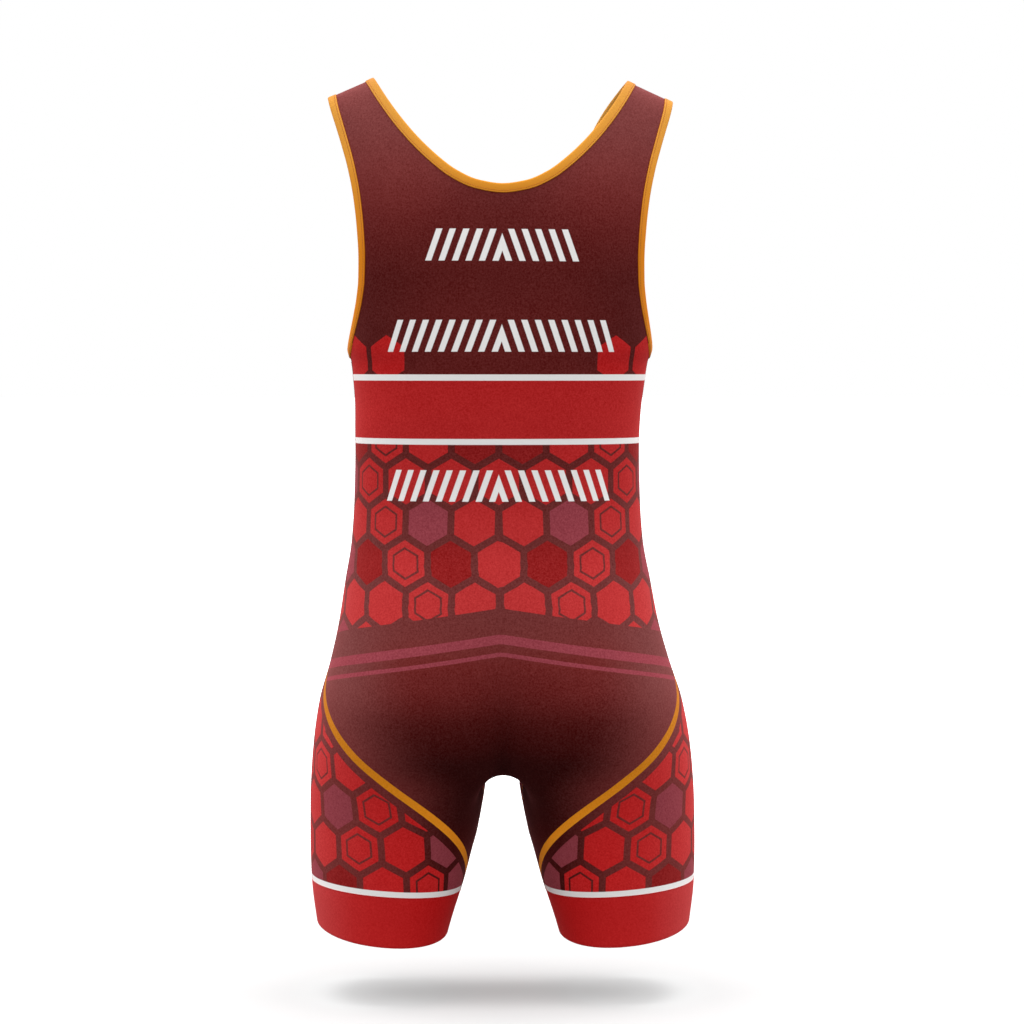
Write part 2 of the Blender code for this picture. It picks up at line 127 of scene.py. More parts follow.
# The leg line, where panel and band meet, and the hem: height at the side seam, how much the
# plane drops per metre towards the centre, and per metre towards the back
LEG_LINE = (-0.7985, 0.078, 0.0)
HEM = (-0.8398, 0.103, 0.105)
LEG_SIDE = 0.188                 # reach of the side seam where those heights are taken

CROTCH_LIMITS = (0.5, 0.75)      # the crotch lies between these depths below the shoulders
DEEPEST = 0.2                    # no part of the form is deeper than this
WIDEST = 0.25                    # nor further out from the middle of its trunk or leg
HALVINGS = 40                    # how often a stretch is halved to find where a line crosses
LEG_ROUNDS = 12                  # how often the cut through a leg is moved onto its plane

# How finely each line is worked out before it is divided
LEG_SAMPLES, INSEAM_SAMPLES, CENTRE_SAMPLES = 361, 241, 601
NECK_SAMPLES, ARM_SAMPLES, SIDE_SAMPLES = 481, 601, 401
# How closely points gather towards the crotch, the neck's middle and the armhole's two ends
CROTCH_GATHER, CENTRE_GATHER, NECK_GATHER = 3, 2.2, 2
ARM_GATHER, ARM_TOP_GATHER = 2.4, 1.6
INSEAM_GATHER = 1.7

# Mesh of one half of a panel before it is doubled
COLUMNS = 12
INSEAM_ROWS = 7
SIDE_ROWS = 27
ROWS = 46
NECK_ROWS = {"back": 11, "front": 15}
FACING = {"back": 1, "front": -1}
FIRST_BULGE = 0.09               # how far the first grid is bowed before it is laid on the form
DOUBLINGS = 2
SETTLE_ROUNDS = (250, 30, 20)    # how often the grid is evened out at each fineness


# ---------------------------------------------------------------- the form


def curve_through(places, values, level_start=False):
    """A smooth curve through rising places that never swings past its values."""
    places, values = np.array(places, float), np.array(values, float)
    step = np.diff(places)
    rise = np.diff(values) / step
    first = 0.0 if level_start else rise[0]
    slope = np.concatenate(([first], np.zeros(len(step) - 1), [rise[-1]]))
    for k in range(1, len(step)):
        if rise[k - 1] * rise[k] > 0:
            before, after = 2 * step[k] + step[k - 1], step[k] + 2 * step[k - 1]
            slope[k] = (before + after) / (before / rise[k - 1] + after / rise[k])

    def value_at(place):
        k = np.clip(np.searchsorted(places, place) - 1, 0, len(step) - 1)
        t = (place - places[k]) / step[k]
        start = values[k] * (1 + 2 * t) + slope[k] * step[k] * t
        end = values[k + 1] * (3 - 2 * t) - slope[k + 1] * step[k] * (1 - t)
        return start * (1 - t) ** 2 + end * t ** 2

    return value_at


side_at = curve_through(HEIGHTS * MM, SIDE * MM)
inner_at = curve_through(HEIGHTS * MM, INNER * MM)
front_at = curve_through(HEIGHTS * MM, FRONT * MM)
back_at = curve_through(HEIGHTS * MM, BACK * MM)
square_at = curve_through(HEIGHTS * MM, SQUARE)
sway_at = curve_through(*np.array(SWAY[::-1]).T * MM)
arch_at = curve_through(*np.array(ARCH[::-1]).T * MM)


def shoulder_height(reach):
    """Height of the shoulder seam at this distance from the centre plane."""
    return SHOULDER_TOP + SHOULDER_SLOPE * (NECK_POINT - reach)


def section_middle(z):
    """Reach of the middle of the section: 0 in the trunk, the leg's own middle below it."""
    return np.maximum((side_at(z) + inner_at(z)) / 2, 0)


def inner_wall(y, z):
    """Reach of the leg's inner wall, with the arch at the top of the gap between the legs."""
    fade = np.clip((ARCH_END - np.abs(y)) / (ARCH_END - ARCH_DEEP), 0, 1)
    return inner_at(z) + arch_at(z) * fade ** 2 * (3 - 2 * fade)


def parts_of_form(points):
    """How far along its section each point lies: across, in depth and towards the shoulder."""
    x, y, z = np.abs(points[..., 0]), points[..., 1], points[..., 2]
    side, inner, square = side_at(z), inner_wall(y, z), square_at(z)
    axis, reach = np.maximum((side + inner) / 2, 0), (side - inner) / 2
    near = (np.abs(x - axis) / reach) ** square
    far = ((x + axis) / reach) ** square
    fillet = np.maximum(CROTCH_FILLET * np.clip(axis / reach, 0, 1), 1e-6)
    overlap = np.clip(1 - np.abs(near - far) / fillet, 0, 1)
    across = np.minimum(near, far) - fillet * overlap ** 2 / 4
    depth = np.where(y > 0, back_at(z), front_at(z))
    climb = np.clip((z - ROOF_START) / (shoulder_height(x) - ROOF_START), 0, None) ** ROOF_ROUND
    return across, (np.abs(y) / depth) ** square, climb


def form(points):
    """Below 0 inside the form, 0 on it, above 0 outside."""
    across, deep, climb = parts_of_form(points)
    return across + deep + (1 - across) * climb - 1


def slope_of_form(points):
    """The form's gradient, which points straight out of it."""
    reach = 0.2 * MM
    slopes = [form(points + step) - form(points - step) for step in np.eye(3) * reach]
    return np.stack(slopes, axis=-1) / (2 * reach)


def outward(points):
    slope = slope_of_form(points)
    return slope / np.linalg.norm(slope, axis=-1, keepdims=True)


def onto_form(points, rounds=3, longest=8 * MM):
    """The points moved straight in or out until they lie on the form."""
    for _ in range(rounds):
        slope = slope_of_form(points)
        move = slope * (form(points) / np.maximum((slope ** 2).sum(-1), 1e-6))[..., None]
        length = np.linalg.norm(move, axis=-1, keepdims=True)
        points = points - move * np.minimum(1, longest / np.maximum(length, 1e-9))
    return points


def meeting(function, low, high):
    """Where a rising function passes 0, for arrays of lower and upper limits."""
    low, high = np.array(low, float), np.array(high, float)
    for _ in range(HALVINGS):
        middle = (low + high) / 2
        inside = function(middle) < 0
        low, high = np.where(inside, middle, low), np.where(inside, high, middle)
    return (low + high) / 2


def point(x, y, z):
    return np.stack(np.broadcast_arrays(x, y, z), axis=-1).astype(float)


def even_points(curve, count, gather=1.0):
    """Points along a curve with its ends among them, evenly or closer towards its end."""
    length = np.concatenate(([0], np.cumsum(np.linalg.norm(np.diff(curve, axis=0), axis=1))))
    places = length[-1] * (1 - (1 - np.linspace(0, 1, count + 1)) ** gather)
    return np.stack([np.interp(places, length, curve[:, axis]) for axis in range(3)], axis=-1)


def swayed(points):
    """The finished place of points on the form, with its lean and the turn of its shoulders."""
    x, y, z = points[..., 0], points[..., 1], points[..., 2]
    high = np.clip((z - LEVEL_BELOW) / (FULL_ABOVE - LEVEL_BELOW), 0, 1)
    high = high ** 2 * (3 - 2 * high)
    return points + point(sway_at(z) - TWIST * high * np.minimum(y, 0), 0, TILT * high * x)


# ---------------------------------------------------------------- edges and seams of one half


def seen_at(x, z, facing):
    """The point of the back or front that is seen at this reach and height."""
    across, _, climb = parts_of_form(point(x, 0, z))
    depth = back_at(z) if facing > 0 else front_at(z)
    deep = np.clip((1 - across) * (1 - climb), 0, None)
    return point(x, facing * depth * deep ** (1 / square_at(z)), z)


def leg_plane(plane, x, y):
    height, inwards, backwards = plane
    return height - inwards * (LEG_SIDE - x) - backwards * y


def leg_edge(plane, facing):
    """Half round one leg, from its side seam to its inseam, cut off at a plane."""
    turn = np.linspace(0, math.pi, LEG_SAMPLES)
    z = np.full_like(turn, plane[0])
    for _ in range(LEG_ROUNDS):
        side, inner, power = side_at(z), inner_at(z), 2 / square_at(z)
        depth = back_at(z) if facing > 0 else front_at(z)
        cosine = np.cos(turn)
        x = (side + inner) / 2 + (side - inner) / 2 * np.sign(cosine) * np.abs(cosine) ** power
        y = facing * depth * np.sin(turn) ** power
        y[-1] = 0
        z = leg_plane(plane, x, y)
    return onto_form(point(x, y, z))


def crotch_height():
    return -float(meeting(lambda drop: form(point(0, 0, -drop)), *CROTCH_LIMITS))


def inseam(start):
    """From the leg line's inner end up the inner leg to the crotch, on the plane of the seams."""
    top = crotch_height()
    z = top - (top - start[2]) * np.linspace(1, 0, INSEAM_SAMPLES) ** CROTCH_GATHER
    axis = (side_at(z) + inner_at(z)) / 2
    x = axis - meeting(lambda reach: form(point(axis - reach, 0, z)), 0 * axis, axis)
    x[-1] = 0
    return point(x, 0, z)


def centre_line(top, facing):
    """From the crotch up the middle of the back or front to this height."""
    bottom = crotch_height()
    z = bottom + (top - bottom) * np.linspace(0, 1, CENTRE_SAMPLES) ** CENTRE_GATHER
    y = facing * meeting(lambda reach: form(point(0, facing * reach, z)), 0 * z, 0 * z + DEEPEST)
    y[0] = 0
    return point(0, y, z)


def neck_edge(name):
    """The cut edge of the neck, from the centre up to the shoulder seam."""
    reach, height = np.array(NECKLINE[name][::-1], float).T * MM
    steps = np.concatenate(([0], np.cumsum(np.hypot(np.diff(reach), np.diff(height)))))
    along = steps[-1] * (1 - (1 - np.linspace(0, 1, NECK_SAMPLES)) ** NECK_GATHER)
    x, z = curve_through(steps, reach)(along), curve_through(steps, height, True)(along)
    edge = seen_at(x, z, FACING[name])
    edge[0, 0] = edge[-1, 1] = 0
    return edge


def armhole_edge(name):
    """The cut edge of the armhole, from the side seam up to the shoulder seam."""
    heights, back_reach, front_reach = np.array(ARMHOLE[::-1], float).T * MM
    reach = back_reach if name == "back" else front_reach
    along = 1 - (1 - np.linspace(0, 1, ARM_SAMPLES) ** ARM_GATHER) ** ARM_TOP_GATHER
    z = heights[0] + (heights[-1] - heights[0]) * along
    edge = seen_at(curve_through(heights, reach)(z), z, FACING[name])
    edge[0, 1] = edge[-1, 1] = 0
    return edge


def inset(edge, inwards, width):
    """The edge moved in along the cloth by the binding's width."""
    along = np.gradient(edge, axis=0)
    across = np.cross(outward(edge), along)
    across *= inwards / np.linalg.norm(across, axis=-1, keepdims=True)
    line = onto_form(edge + across * width)
    for end in (0, -1):
        if abs(edge[end, 1]) < 1e-9:
            line[end, 1] = 0
    return line


# ---------------------------------------------------------------- panels


def panel_lines(name, times):
    """The four sides of a half panel and its two bound edges, with this many times the points."""
    facing = FACING[name]
    neck_rows = NECK_ROWS[name] * times
    arm_cut = even_points(armhole_edge(name), (ROWS - SIDE_ROWS) * times)
    arm_in = inset(arm_cut, -facing, BINDING_WIDTH)
    neck_cut = even_points(neck_edge(name), neck_rows)
    neck_in = inset(neck_cut, facing, BINDING_WIDTH)
    neck_in[0, 0] = 0
    leg_line = even_points(leg_edge(LEG_LINE, facing), COLUMNS * times)
    side_z = np.linspace(leg_line[0, 2], arm_in[0, 2], SIDE_SAMPLES)
    side_seam = even_points(point(side_at(side_z), 0, side_z), SIDE_ROWS * times)
    middle_rows = (ROWS - INSEAM_ROWS) * times - neck_rows
    middle = even_points(centre_line(neck_in[0, 2], facing), middle_rows)
    inner_leg = even_points(inseam(leg_line[-1]), INSEAM_ROWS * times, INSEAM_GATHER)
    shoulder_seam = np.linspace(arm_in[-1], neck_in[-1], COLUMNS * times + 1)
    outer = np.concatenate((side_seam[:-1], arm_in))
    inner = np.concatenate((inner_leg[:-1], middle[:-1], neck_in))
    return outer, inner, leg_line, shoulder_seam, arm_cut, neck_cut


def doubled(grid):
    """The same grid with a point more between every two."""
    rows, columns = grid.shape[:2]
    finer = np.empty((2 * rows - 1, 2 * columns - 1, 3))
    finer[::2, ::2] = grid
    finer[1::2, ::2] = (grid[1:] + grid[:-1]) / 2
    finer[:, 1::2] = (finer[:, 2::2] + finer[:, :-1:2]) / 2
    return finer


def half_panel(name):
    """The wearer's left half of a panel: its grid on the form, and the two bound edges."""
    grid = None
    for level in range(DOUBLINGS + 1):
        times = 2 ** level
        outer, inner, leg_line, shoulder_seam, arm_cut, neck_cut = panel_lines(name, times)
        if grid is None:
            share = np.linspace(0, 1, COLUMNS + 1)[None, :, None]
            grid = outer[:, None] * (1 - share) + inner[:, None] * share
            grid[:, :, 1] += FACING[name] * FIRST_BULGE * np.sin(math.pi * share[..., 0])
            grid[1:-1, 1:-1] = onto_form(grid[1:-1, 1:-1], rounds=30)
        else:
            grid = doubled(grid)
        grid[0], grid[-1], grid[:, 0], grid[:, -1] = leg_line, shoulder_seam, outer, inner
        for _ in range(SETTLE_ROUNDS[level]):
            across = grid[1:-1, :-2] + grid[1:-1, 2:]
            along = grid[:-2, 1:-1] + grid[2:, 1:-1]
            grid[1:-1, 1:-1] = onto_form((across + along) / 4, rounds=1)
    return grid, arm_cut, neck_cut


def panel_sheet(name):
    """A panel's middle surface: points, and faces of four corners, both halves joined."""
    grid, arm_cut, neck_cut = half_panel(name)
    rows, columns = grid.shape[:2]
    number = np.arange(rows * columns).reshape(rows, columns)
    arm_number = rows * columns + np.arange(len(arm_cut))
    neck_number = arm_number[-1] + 1 + np.arange(len(neck_cut))
    points = np.concatenate((grid.reshape(-1, 3), arm_cut, neck_cut))
    faces = [cells(number)]
    faces.append(cells(np.stack((arm_number, number[-len(arm_cut):, 0]), axis=1)))
    faces.append(cells(np.stack((number[-len(neck_cut):, -1], neck_number), axis=1)))
    faces = np.concatenate(faces)
    on_centre = np.abs(points[:, 0]) < 0.001 * MM
    points[on_centre, 0] = 0
    kept = np.flatnonzero(~on_centre)
    twin = np.arange(len(points))
    twin[kept] = len(points) + np.arange(len(kept))
    points = np.concatenate((points, points[kept] * MIRROR))
    return points, np.concatenate((faces, twin[faces]))


def cells(number):
    """The faces between the neighbours in a grid of point numbers."""
    a, b, c, d = number[:-1, :-1], number[:-1, 1:], number[1:, 1:], number[1:, :-1]
    return np.stack((a, b, c, d), axis=-1).reshape(-1, 4)


def rim_of(faces):
    """The edges that only one face has."""
    edges = np.concatenate([faces[:, (k, (k + 1) % 4)] for k in range(4)])
    ordered = np.sort(edges, axis=1)
    _, first, count = np.unique(ordered, axis=0, return_index=True, return_counts=True)
    return edges[first[count == 1]]


# Where a point lies on the flat cloth: the way round the section from the side seam is added up
# in a table over height and turn, once for the back and once for the front.
TABLE_HEIGHTS = np.linspace(-0.90, 0.0, 226)
TABLE_TURNS = np.linspace(0, math.pi, 181)
TRUNK_END = -0.60                # below here the width runs on with the side seam


def way_round(facing):
    """Distance round the cloth from the side seam, at each height and turn of the table."""
    z, turn = np.meshgrid(TABLE_HEIGHTS, TABLE_TURNS, indexing="ij")
    axis = section_middle(z)

    def beyond(reach):
        return form(point(axis + reach * np.cos(turn), facing * reach * np.sin(turn), z))

    reach = meeting(beyond, 0 * z, 0 * z + WIDEST)
    x, y = reach * np.cos(turn), reach * np.sin(turn)
    steps = np.hypot(np.diff(x, axis=1), np.diff(y, axis=1))
    way = np.concatenate((np.zeros((len(z), 1)), np.cumsum(steps, axis=1)), axis=1)
    past_centre = axis + x < 0
    last = np.where(past_centre.any(1), past_centre.argmax(1) - 1, len(TABLE_TURNS) - 1)
    return way, way[np.arange(len(z)), np.maximum(last, 0)]


def place_in_table(steps, count):
    """The last of a table's lines before each place, and how far on to the next one it is."""
    steps = np.clip(steps, 0, count - 1.001)
    line = steps.astype(int)
    return line, steps - line


def on_flat_cloth(points, facing):
    """Distance from the centre of the print, for points on the form.

    The front's print is drawn out to be as wide as the back's, so that the two meet at the
    side seam.
    """
    way, whole = way_round(facing)
    z = points[:, 2]
    axis = section_middle(z)
    turn = np.arctan2(np.abs(points[:, 1]), np.abs(points[:, 0]) - axis)
    _, back_whole = way_round(1)
    rows = np.interp(z, TABLE_HEIGHTS, np.arange(len(TABLE_HEIGHTS)))
    i, s = place_in_table(rows, len(TABLE_HEIGHTS))
    j, t = place_in_table(turn / TABLE_TURNS[1], len(TABLE_TURNS))
    from_side = ((way[i, j] * (1 - t) + way[i, j + 1] * t) * (1 - s)
                 + (way[i + 1, j] * (1 - t) + way[i + 1, j + 1] * t) * s)
    half_width = np.interp(np.maximum(z, TRUNK_END), TABLE_HEIGHTS, whole)
    half_width = half_width + (side_at(z) - side_at(TRUNK_END)) * (z < TRUNK_END)
    stretch = np.interp(np.maximum(z, TRUNK_END), TABLE_HEIGHTS, back_whole / whole)
    return (half_width - from_side) * stretch


# ---------------------------------------------------------------- meshes

SHARP_OVER = 55                  # edges that turn by more degrees than this stay sharp


def new_object(name, data):
    """An object at the origin, in the scene."""
    thing = bpy.data.objects.new(name, data)
    bpy.context.scene.collection.objects.link(thing)
    return thing


def new_piece(name, points, faces, material, flat=None, marks=None):
    """A mesh object at the origin. flat gives its UV places, marks its named point values."""
    mesh = bpy.data.meshes.new(name)
    mesh.from_pydata(np.asarray(points).tolist(), [], [list(face) for face in faces])
    if flat is not None:
        layer = mesh.uv_layers.new(name="flat_cloth")
        corner = np.empty(len(mesh.loops), np.int32)
        mesh.loops.foreach_get("vertex_index", corner)
        layer.data.foreach_set("uv", np.asarray(flat, np.float32)[corner].ravel())
    for key, values in (marks or {}).items():
        mark = mesh.attributes.new(key, "FLOAT", "POINT")
        mark.data.foreach_set("value", np.asarray(values, np.float32))
    shell = bmesh.new()
    shell.from_mesh(mesh)
    bmesh.ops.recalc_face_normals(shell, faces=shell.faces)
    shell.to_mesh(mesh)
    shell.free()
    mesh.materials.append(material)
    mesh.shade_smooth()
    mesh.set_sharp_from_angle(angle=math.radians(SHARP_OVER))
    return new_object(name, mesh)


def cloth_panel(name, material):
    """The back or front in one wall, with its place on the flat cloth for the print."""
    facing = FACING[name]
    points, faces = panel_sheet(name)
    from_centre = on_flat_cloth(points, facing)
    over_leg = points[:, 2] - leg_plane(LEG_LINE, np.abs(points[:, 0]), points[:, 1])
    out = outward(points)
    middle = points + np.array([0, facing * SEAM_GAP / 2, 0])
    outer, inner = swayed(middle + out * CLOTH / 2), swayed(middle - out * CLOTH / 2)
    count = len(points)
    rim = rim_of(faces)
    sides = np.column_stack((rim, rim[:, ::-1] + count))
    every_face = np.concatenate((faces, faces[:, ::-1] + count, sides))
    across = np.where(points[:, 0] < 0, -1, 1) * from_centre
    flat = np.tile(np.column_stack((across, points[:, 2])), (2, 1))
    marks = {"over_leg_line": np.tile(over_leg, 2), "inside": np.repeat((0.0, 1.0), count),
             "on_back": np.full(2 * count, float(facing > 0))}
    every_point = np.concatenate((outer, inner))
    return new_piece(name + "_cloth", every_point, every_face, material, flat, marks)


# ---------------------------------------------------------------- bindings and leg bands

# The binding's section: distance in from the cut edge and distance off the cloth's middle, in
# millimetres, from the inner edge of the outside layer round the fold to the inner edge inside.
# It is drawn in where the needle passes.
# Its first three points are a thin flange lying on the cloth that carries the painted contact
# shadow along the binding's edge.
BINDING_OUTLINE = ((8.85, 0.66), (8.8, 0.80), (8.2, 0.84), (8.12, 1.22), (7.95, 1.48),
                   (7.5, 1.60), (6.9, 1.58), (6.3, 1.46), (5.7, 1.58), (4.6, 1.70), (3.0, 1.74),
                   (1.5, 1.72), (0.5, 1.66))
NEEDLE_CORNER = 7                # the corner where it is drawn in
BINDING_LINING = ((-0.25, 0.5), (0.0, 0.92), (3.0, 0.92), (7.6, 0.92))
FOLD_REACH = 1.0                 # how far the fold stands out past the cut edge, in mm
FOLD_STEPS = 7


def binding_profile():
    turns = np.linspace(math.pi / 2, -math.pi / 2, FOLD_STEPS)
    half = np.array(BINDING_OUTLINE)
    fold = np.column_stack((-FOLD_REACH * np.cos(turns), half[-1, 1] * np.sin(turns)))
    lining = np.array(BINDING_LINING)
    turned = (1, -1)
    rings = (half, fold[1:-1], half[::-1] * turned, lining[::-1] * turned, lining)
    return np.concatenate(rings) * MM


def around_edge(cut, turn_in, profile):
    """The profile set up at each station of an edge, square to it."""
    into = turn_in - cut
    into /= np.linalg.norm(into, axis=-1, keepdims=True)
    share = np.clip(profile[:, 0] / BINDING_WIDTH, 0, 1)[None, :, None]
    past = profile[:, 0][None, :, None] - share * BINDING_WIDTH
    base = cut[:, None] * (1 - share) + turn_in[:, None] * share + into[:, None] * past
    off = outward(cut)[:, None] * (1 - share) + outward(turn_in)[:, None] * share
    off /= np.linalg.norm(off, axis=-1, keepdims=True)
    return base + off * profile[:, 1][None, :, None]


def edge_stations(name, profile):
    """Sections of the armhole and neck bindings on the wearer's left half of one panel."""
    outer, inner, _, _, arm_cut, neck_cut = panel_lines(name, 2 ** DOUBLINGS)
    arm_in, neck_in = outer[-len(arm_cut):], inner[-len(neck_cut):]
    apart = np.array([0, FACING[name] * SEAM_GAP / 2, 0])
    edges = ((arm_cut, arm_in), (neck_cut, neck_in))
    return [around_edge(cut, turn_in, profile) + apart for cut, turn_in in edges]


def joined(back, front, both_ends):
    """Back stations up to the shoulder seam and front ones down again, shared at the seam."""
    top = (back[-1:] + front[-1:]) / 2
    foot = (back[:1] + front[:1]) / 2 if both_ends else back[:1]
    tail = front[-2:0:-1] if both_ends else front[-2::-1]
    return np.concatenate((foot, back[1:-1], top, tail))


def ring_piece(name, sections, material):
    """A closed body through sections that follow each other round a loop."""
    stations, corners = sections.shape[:2]
    number = np.arange(stations * corners).reshape(stations, corners)
    wrapped = np.concatenate((number, number[:1]))
    wrapped = np.concatenate((wrapped, wrapped[:, :1]), axis=1)
    centre = sections.mean(axis=1)
    steps = np.linalg.norm(np.diff(centre, axis=0), axis=1)
    along = np.concatenate(([0], np.cumsum(steps)))
    girth = np.linalg.norm(np.diff(sections[0], axis=0), axis=1)
    around = np.concatenate(([0], np.cumsum(girth)))
    flat = np.stack(np.meshgrid(along, around, indexing="ij"), axis=-1).reshape(-1, 2)
    return new_piece(name, sections.reshape(-1, 3), cells(wrapped), material, flat)


def bindings(material):
    """The strips folded over the armhole and neck edges, and the lines they are sewn along."""
    profile = binding_profile()
    back_arm, back_neck = edge_stations("back", profile)
    front_arm, front_neck = edge_stations("front", profile)
    arm = joined(back_arm, front_arm, both_ends=True)
    half_neck = joined(back_neck, front_neck, both_ends=False)
    neck = np.concatenate((half_neck[:-1], (half_neck * MIRROR)[:0:-1]))
    rings = {"armhole_trim_left": arm, "armhole_trim_right": arm * MIRROR, "neck_trim": neck}
    pieces = {name: ring_piece(name, swayed(ring), material) for name, ring in rings.items()}
    arm_line, neck_line = arm[:, NEEDLE_CORNER], neck[:, NEEDLE_CORNER]
    lines = (arm_line, arm_line * MIRROR, neck_line)
    return pieces, [closed_line(line) for line in lines]


def closed_line(line):
    return np.concatenate((line, line[:1]))


BAND_STATIONS = 96               # stations round a leg, half of them behind
BAND_ROWS = 14
HEM_STEPS = 5                    # points round the fold at the hem
NEEDLE_ROW_AT = 0.06             # how far down the first row of the mesh the needle row lies


def band_sections():
    """The wearer's left band: at each station its section, down the outside and up inside."""
    rows = []
    for share in np.linspace(0, 1, BAND_ROWS + 1):
        plane = [(1 - share) * a + share * b for a, b in zip(LEG_LINE, HEM)]
        plane[0] -= SEAM_GAP * (1 - share) - BAND_CLOTH / 2 * share
        back = even_points(leg_edge(plane, 1), BAND_STATIONS // 2)
        front = even_points(leg_edge(plane, -1), BAND_STATIONS // 2)
        rows.append(np.concatenate((back, front[-2:0:-1])))
    middle = np.array(rows)
    out = outward(middle)
    outer, inner = middle + out * BAND_CLOTH / 2, middle - out * BAND_CLOTH / 2
    down = middle[-1] - middle[-2]
    down /= np.linalg.norm(down, axis=-1, keepdims=True)
    turns = np.linspace(0, math.pi, HEM_STEPS + 2)[1:-1, None, None]
    hem = middle[-1] + BAND_CLOTH / 2 * (out[-1] * np.cos(turns) + down * np.sin(turns))
    return np.concatenate((outer, hem, inner[::-1])).transpose(1, 0, 2)


def leg_bands(material):
    """The two bands, and the lines that their needle rows are sewn along."""
    band = band_sections()
    rings = {"leg_band_cloth_left": band, "leg_band_cloth_right": band * MIRROR}
    pieces = {name: ring_piece(name, swayed(ring), material) for name, ring in rings.items()}
    line = band[:, 0] * (1 - NEEDLE_ROW_AT) + band[:, 1] * NEEDLE_ROW_AT
    return pieces, [closed_line(line), closed_line(line * MIRROR)]


# ---------------------------------------------------------------- node trees


def feed(tree, socket, value):
    """An input set to a value or joined to an output."""
    if isinstance(value, bpy.types.NodeSocket):
        tree.links.new(value, socket)
    else:
        socket.default_value = value


def feed_all(tree, node, inputs):
    for key, value in inputs.items():
        feed(tree, node.inputs[key], value)


def put(tree, kind, inputs=None, **settings):
    """A node with its settings and inputs."""
    node = tree.nodes.new(kind)
    for name, value in settings.items():
        setattr(node, name, value)
    feed_all(tree, node, inputs or {})
    return node


def calc(tree, operation, *values):
    inputs = dict(enumerate(values))
    return put(tree, "ShaderNodeMath", inputs, operation=operation).outputs[0]


def vector_calc(tree, operation, *values, output="Vector"):
    inputs = dict(enumerate(values))
    return put(tree, "ShaderNodeVectorMath", inputs, operation=operation).outputs[output]


def scaled(tree, vector, factor):
    inputs = {0: vector, "Scale": factor}
    return put(tree, "ShaderNodeVectorMath", inputs, operation="SCALE").outputs[0]


def combined(tree, inputs):
    return put(tree, "ShaderNodeCombineXYZ", inputs).outputs[0]


def xyz(tree, vector):
    """A vector's three parts."""
    return put(tree, "ShaderNodeSeparateXYZ", {0: vector}).outputs


def object_place(tree):
    return put(tree, "ShaderNodeTexCoord").outputs["Object"]


def noise(tree, scale, detail=2.0, roughness=0.5):
    inputs = {"Vector": object_place(tree), "Scale": scale, "Detail": detail,
              "Roughness": roughness}
    return put(tree, "ShaderNodeTexNoise", inputs).outputs[0]


def ramp(tree, value, low, high, start=0.0, end=1.0, smooth=False):
    """start up to where value is low, end from where it is high, and a change between them."""
    inputs = {"Value": value, "From Min": low, "From Max": high, "To Min": start, "To Max": end}
    kind = "SMOOTHSTEP" if smooth else "LINEAR"
    return put(tree, "ShaderNodeMapRange", inputs, interpolation_type=kind).outputs[0]


def new_material(name):
    """A material, its node tree and its shader."""
    material = bpy.data.materials.new(name)
    material.use_nodes = True
    return material, material.node_tree, material.node_tree.nodes["Principled BSDF"]


def group(name, inputs, outputs, kind="ShaderNodeTree"):
    """A node group with named sockets: name, kind and default of each input."""
    tree = bpy.data.node_groups.new(name, kind)
    for socket_name, socket_kind, default in inputs:
        socket = tree.interface.new_socket(socket_name, in_out="INPUT", socket_type=socket_kind)
        if default is not None:
            socket.default_value = default
    for socket_name, socket_kind in outputs:
        tree.interface.new_socket(socket_name, in_out="OUTPUT", socket_type=socket_kind)
    return tree, put(tree, "NodeGroupInput"), put(tree, "NodeGroupOutput")


PRINT_EDGE = 0.35 * MM           # how soft the printed edges are


def over(tree, value, limit):
    """1 where value is over limit and 0 where it is under, with a soft edge."""
    difference = calc(tree, "SUBTRACT", value, limit)
    return ramp(tree, difference, -PRINT_EDGE, PRINT_EDGE, smooth=True)


def between(tree, value, low, high):
    return calc(tree, "MULTIPLY", over(tree, value, low), over(tree, high, value))


def both(tree, *masks):
    result = masks[0]
    for mask in masks[1:]:
        result = calc(tree, "MULTIPLY", result, mask)
    return result


def mixed(tree, kind, mask, under, top):
    """top laid over what is under it, where the mask is 1. The kind is RGBA or VECTOR."""
    node = put(tree, "ShaderNodeMix", data_type=kind)
    for name, value in (("Factor", mask), ("A", under), ("B", top)):
        wanted = "VALUE" if name == "Factor" else kind
        feed(tree, next(s for s in node.inputs if s.name == name and s.type == wanted), value)
    return next(s for s in node.outputs if s.type == kind)


def paint(tree, mask, under, colour):
    """A colour laid over another one, where the mask is 1. Each is an output or a triple."""
    under, colour = ((*c, 1) if isinstance(c, tuple) else c for c in (under, colour))
    return mixed(tree, "RGBA", mask, under, colour)


def colour_by(tree, value, table):
    """A colour that goes by a value. The table has values in rising order and their colours."""
    low, high = table[0][0], table[-1][0]
    node = put(tree, "ShaderNodeValToRGB", {"Fac": ramp(tree, value, low, high)})
    stops = node.color_ramp.elements
    stops.remove(stops[1])
    for level, colour in table:
        stop = stops.new((level - low) / (high - low)) if level > low else stops[0]
        stop.color = (*colour, 1)
    return node.outputs[0]


# ---------------------------------------------------------------- the print

# Colours of the cloth's dyes
MAROON = (0.105, 0.0105, 0.0095)
RED = (0.43, 0.0100, 0.0105)
DEEP_RED = (0.24, 0.0105, 0.0105)
ROSE = (0.25, 0.041, 0.055)
GOLD = (0.60, 0.203, 0.009)
# The gold by height, with painted shade: yellower higher up, darker on top of the shoulders and
# lighter low on the armholes
GOLD_SHADE_BY_HEIGHT = (
    (-0.280, (0.690, 0.236, 0.0105)),
    (-0.215, (0.635, 0.200, 0.0077)),
    (-0.175, (0.630, 0.203, 0.0070)),
    (-0.155, (0.663, 0.223, 0.0140)),
    (-0.115, (0.635, 0.243, 0.0200)),
    (-0.085, (0.630, 0.262, 0.0300)),
    (-0.055, (0.565, 0.244, 0.0320)),
    (-0.035, (0.500, 0.224, 0.0320)),
    (0.0, (0.365, 0.165, 0.0260)),
)
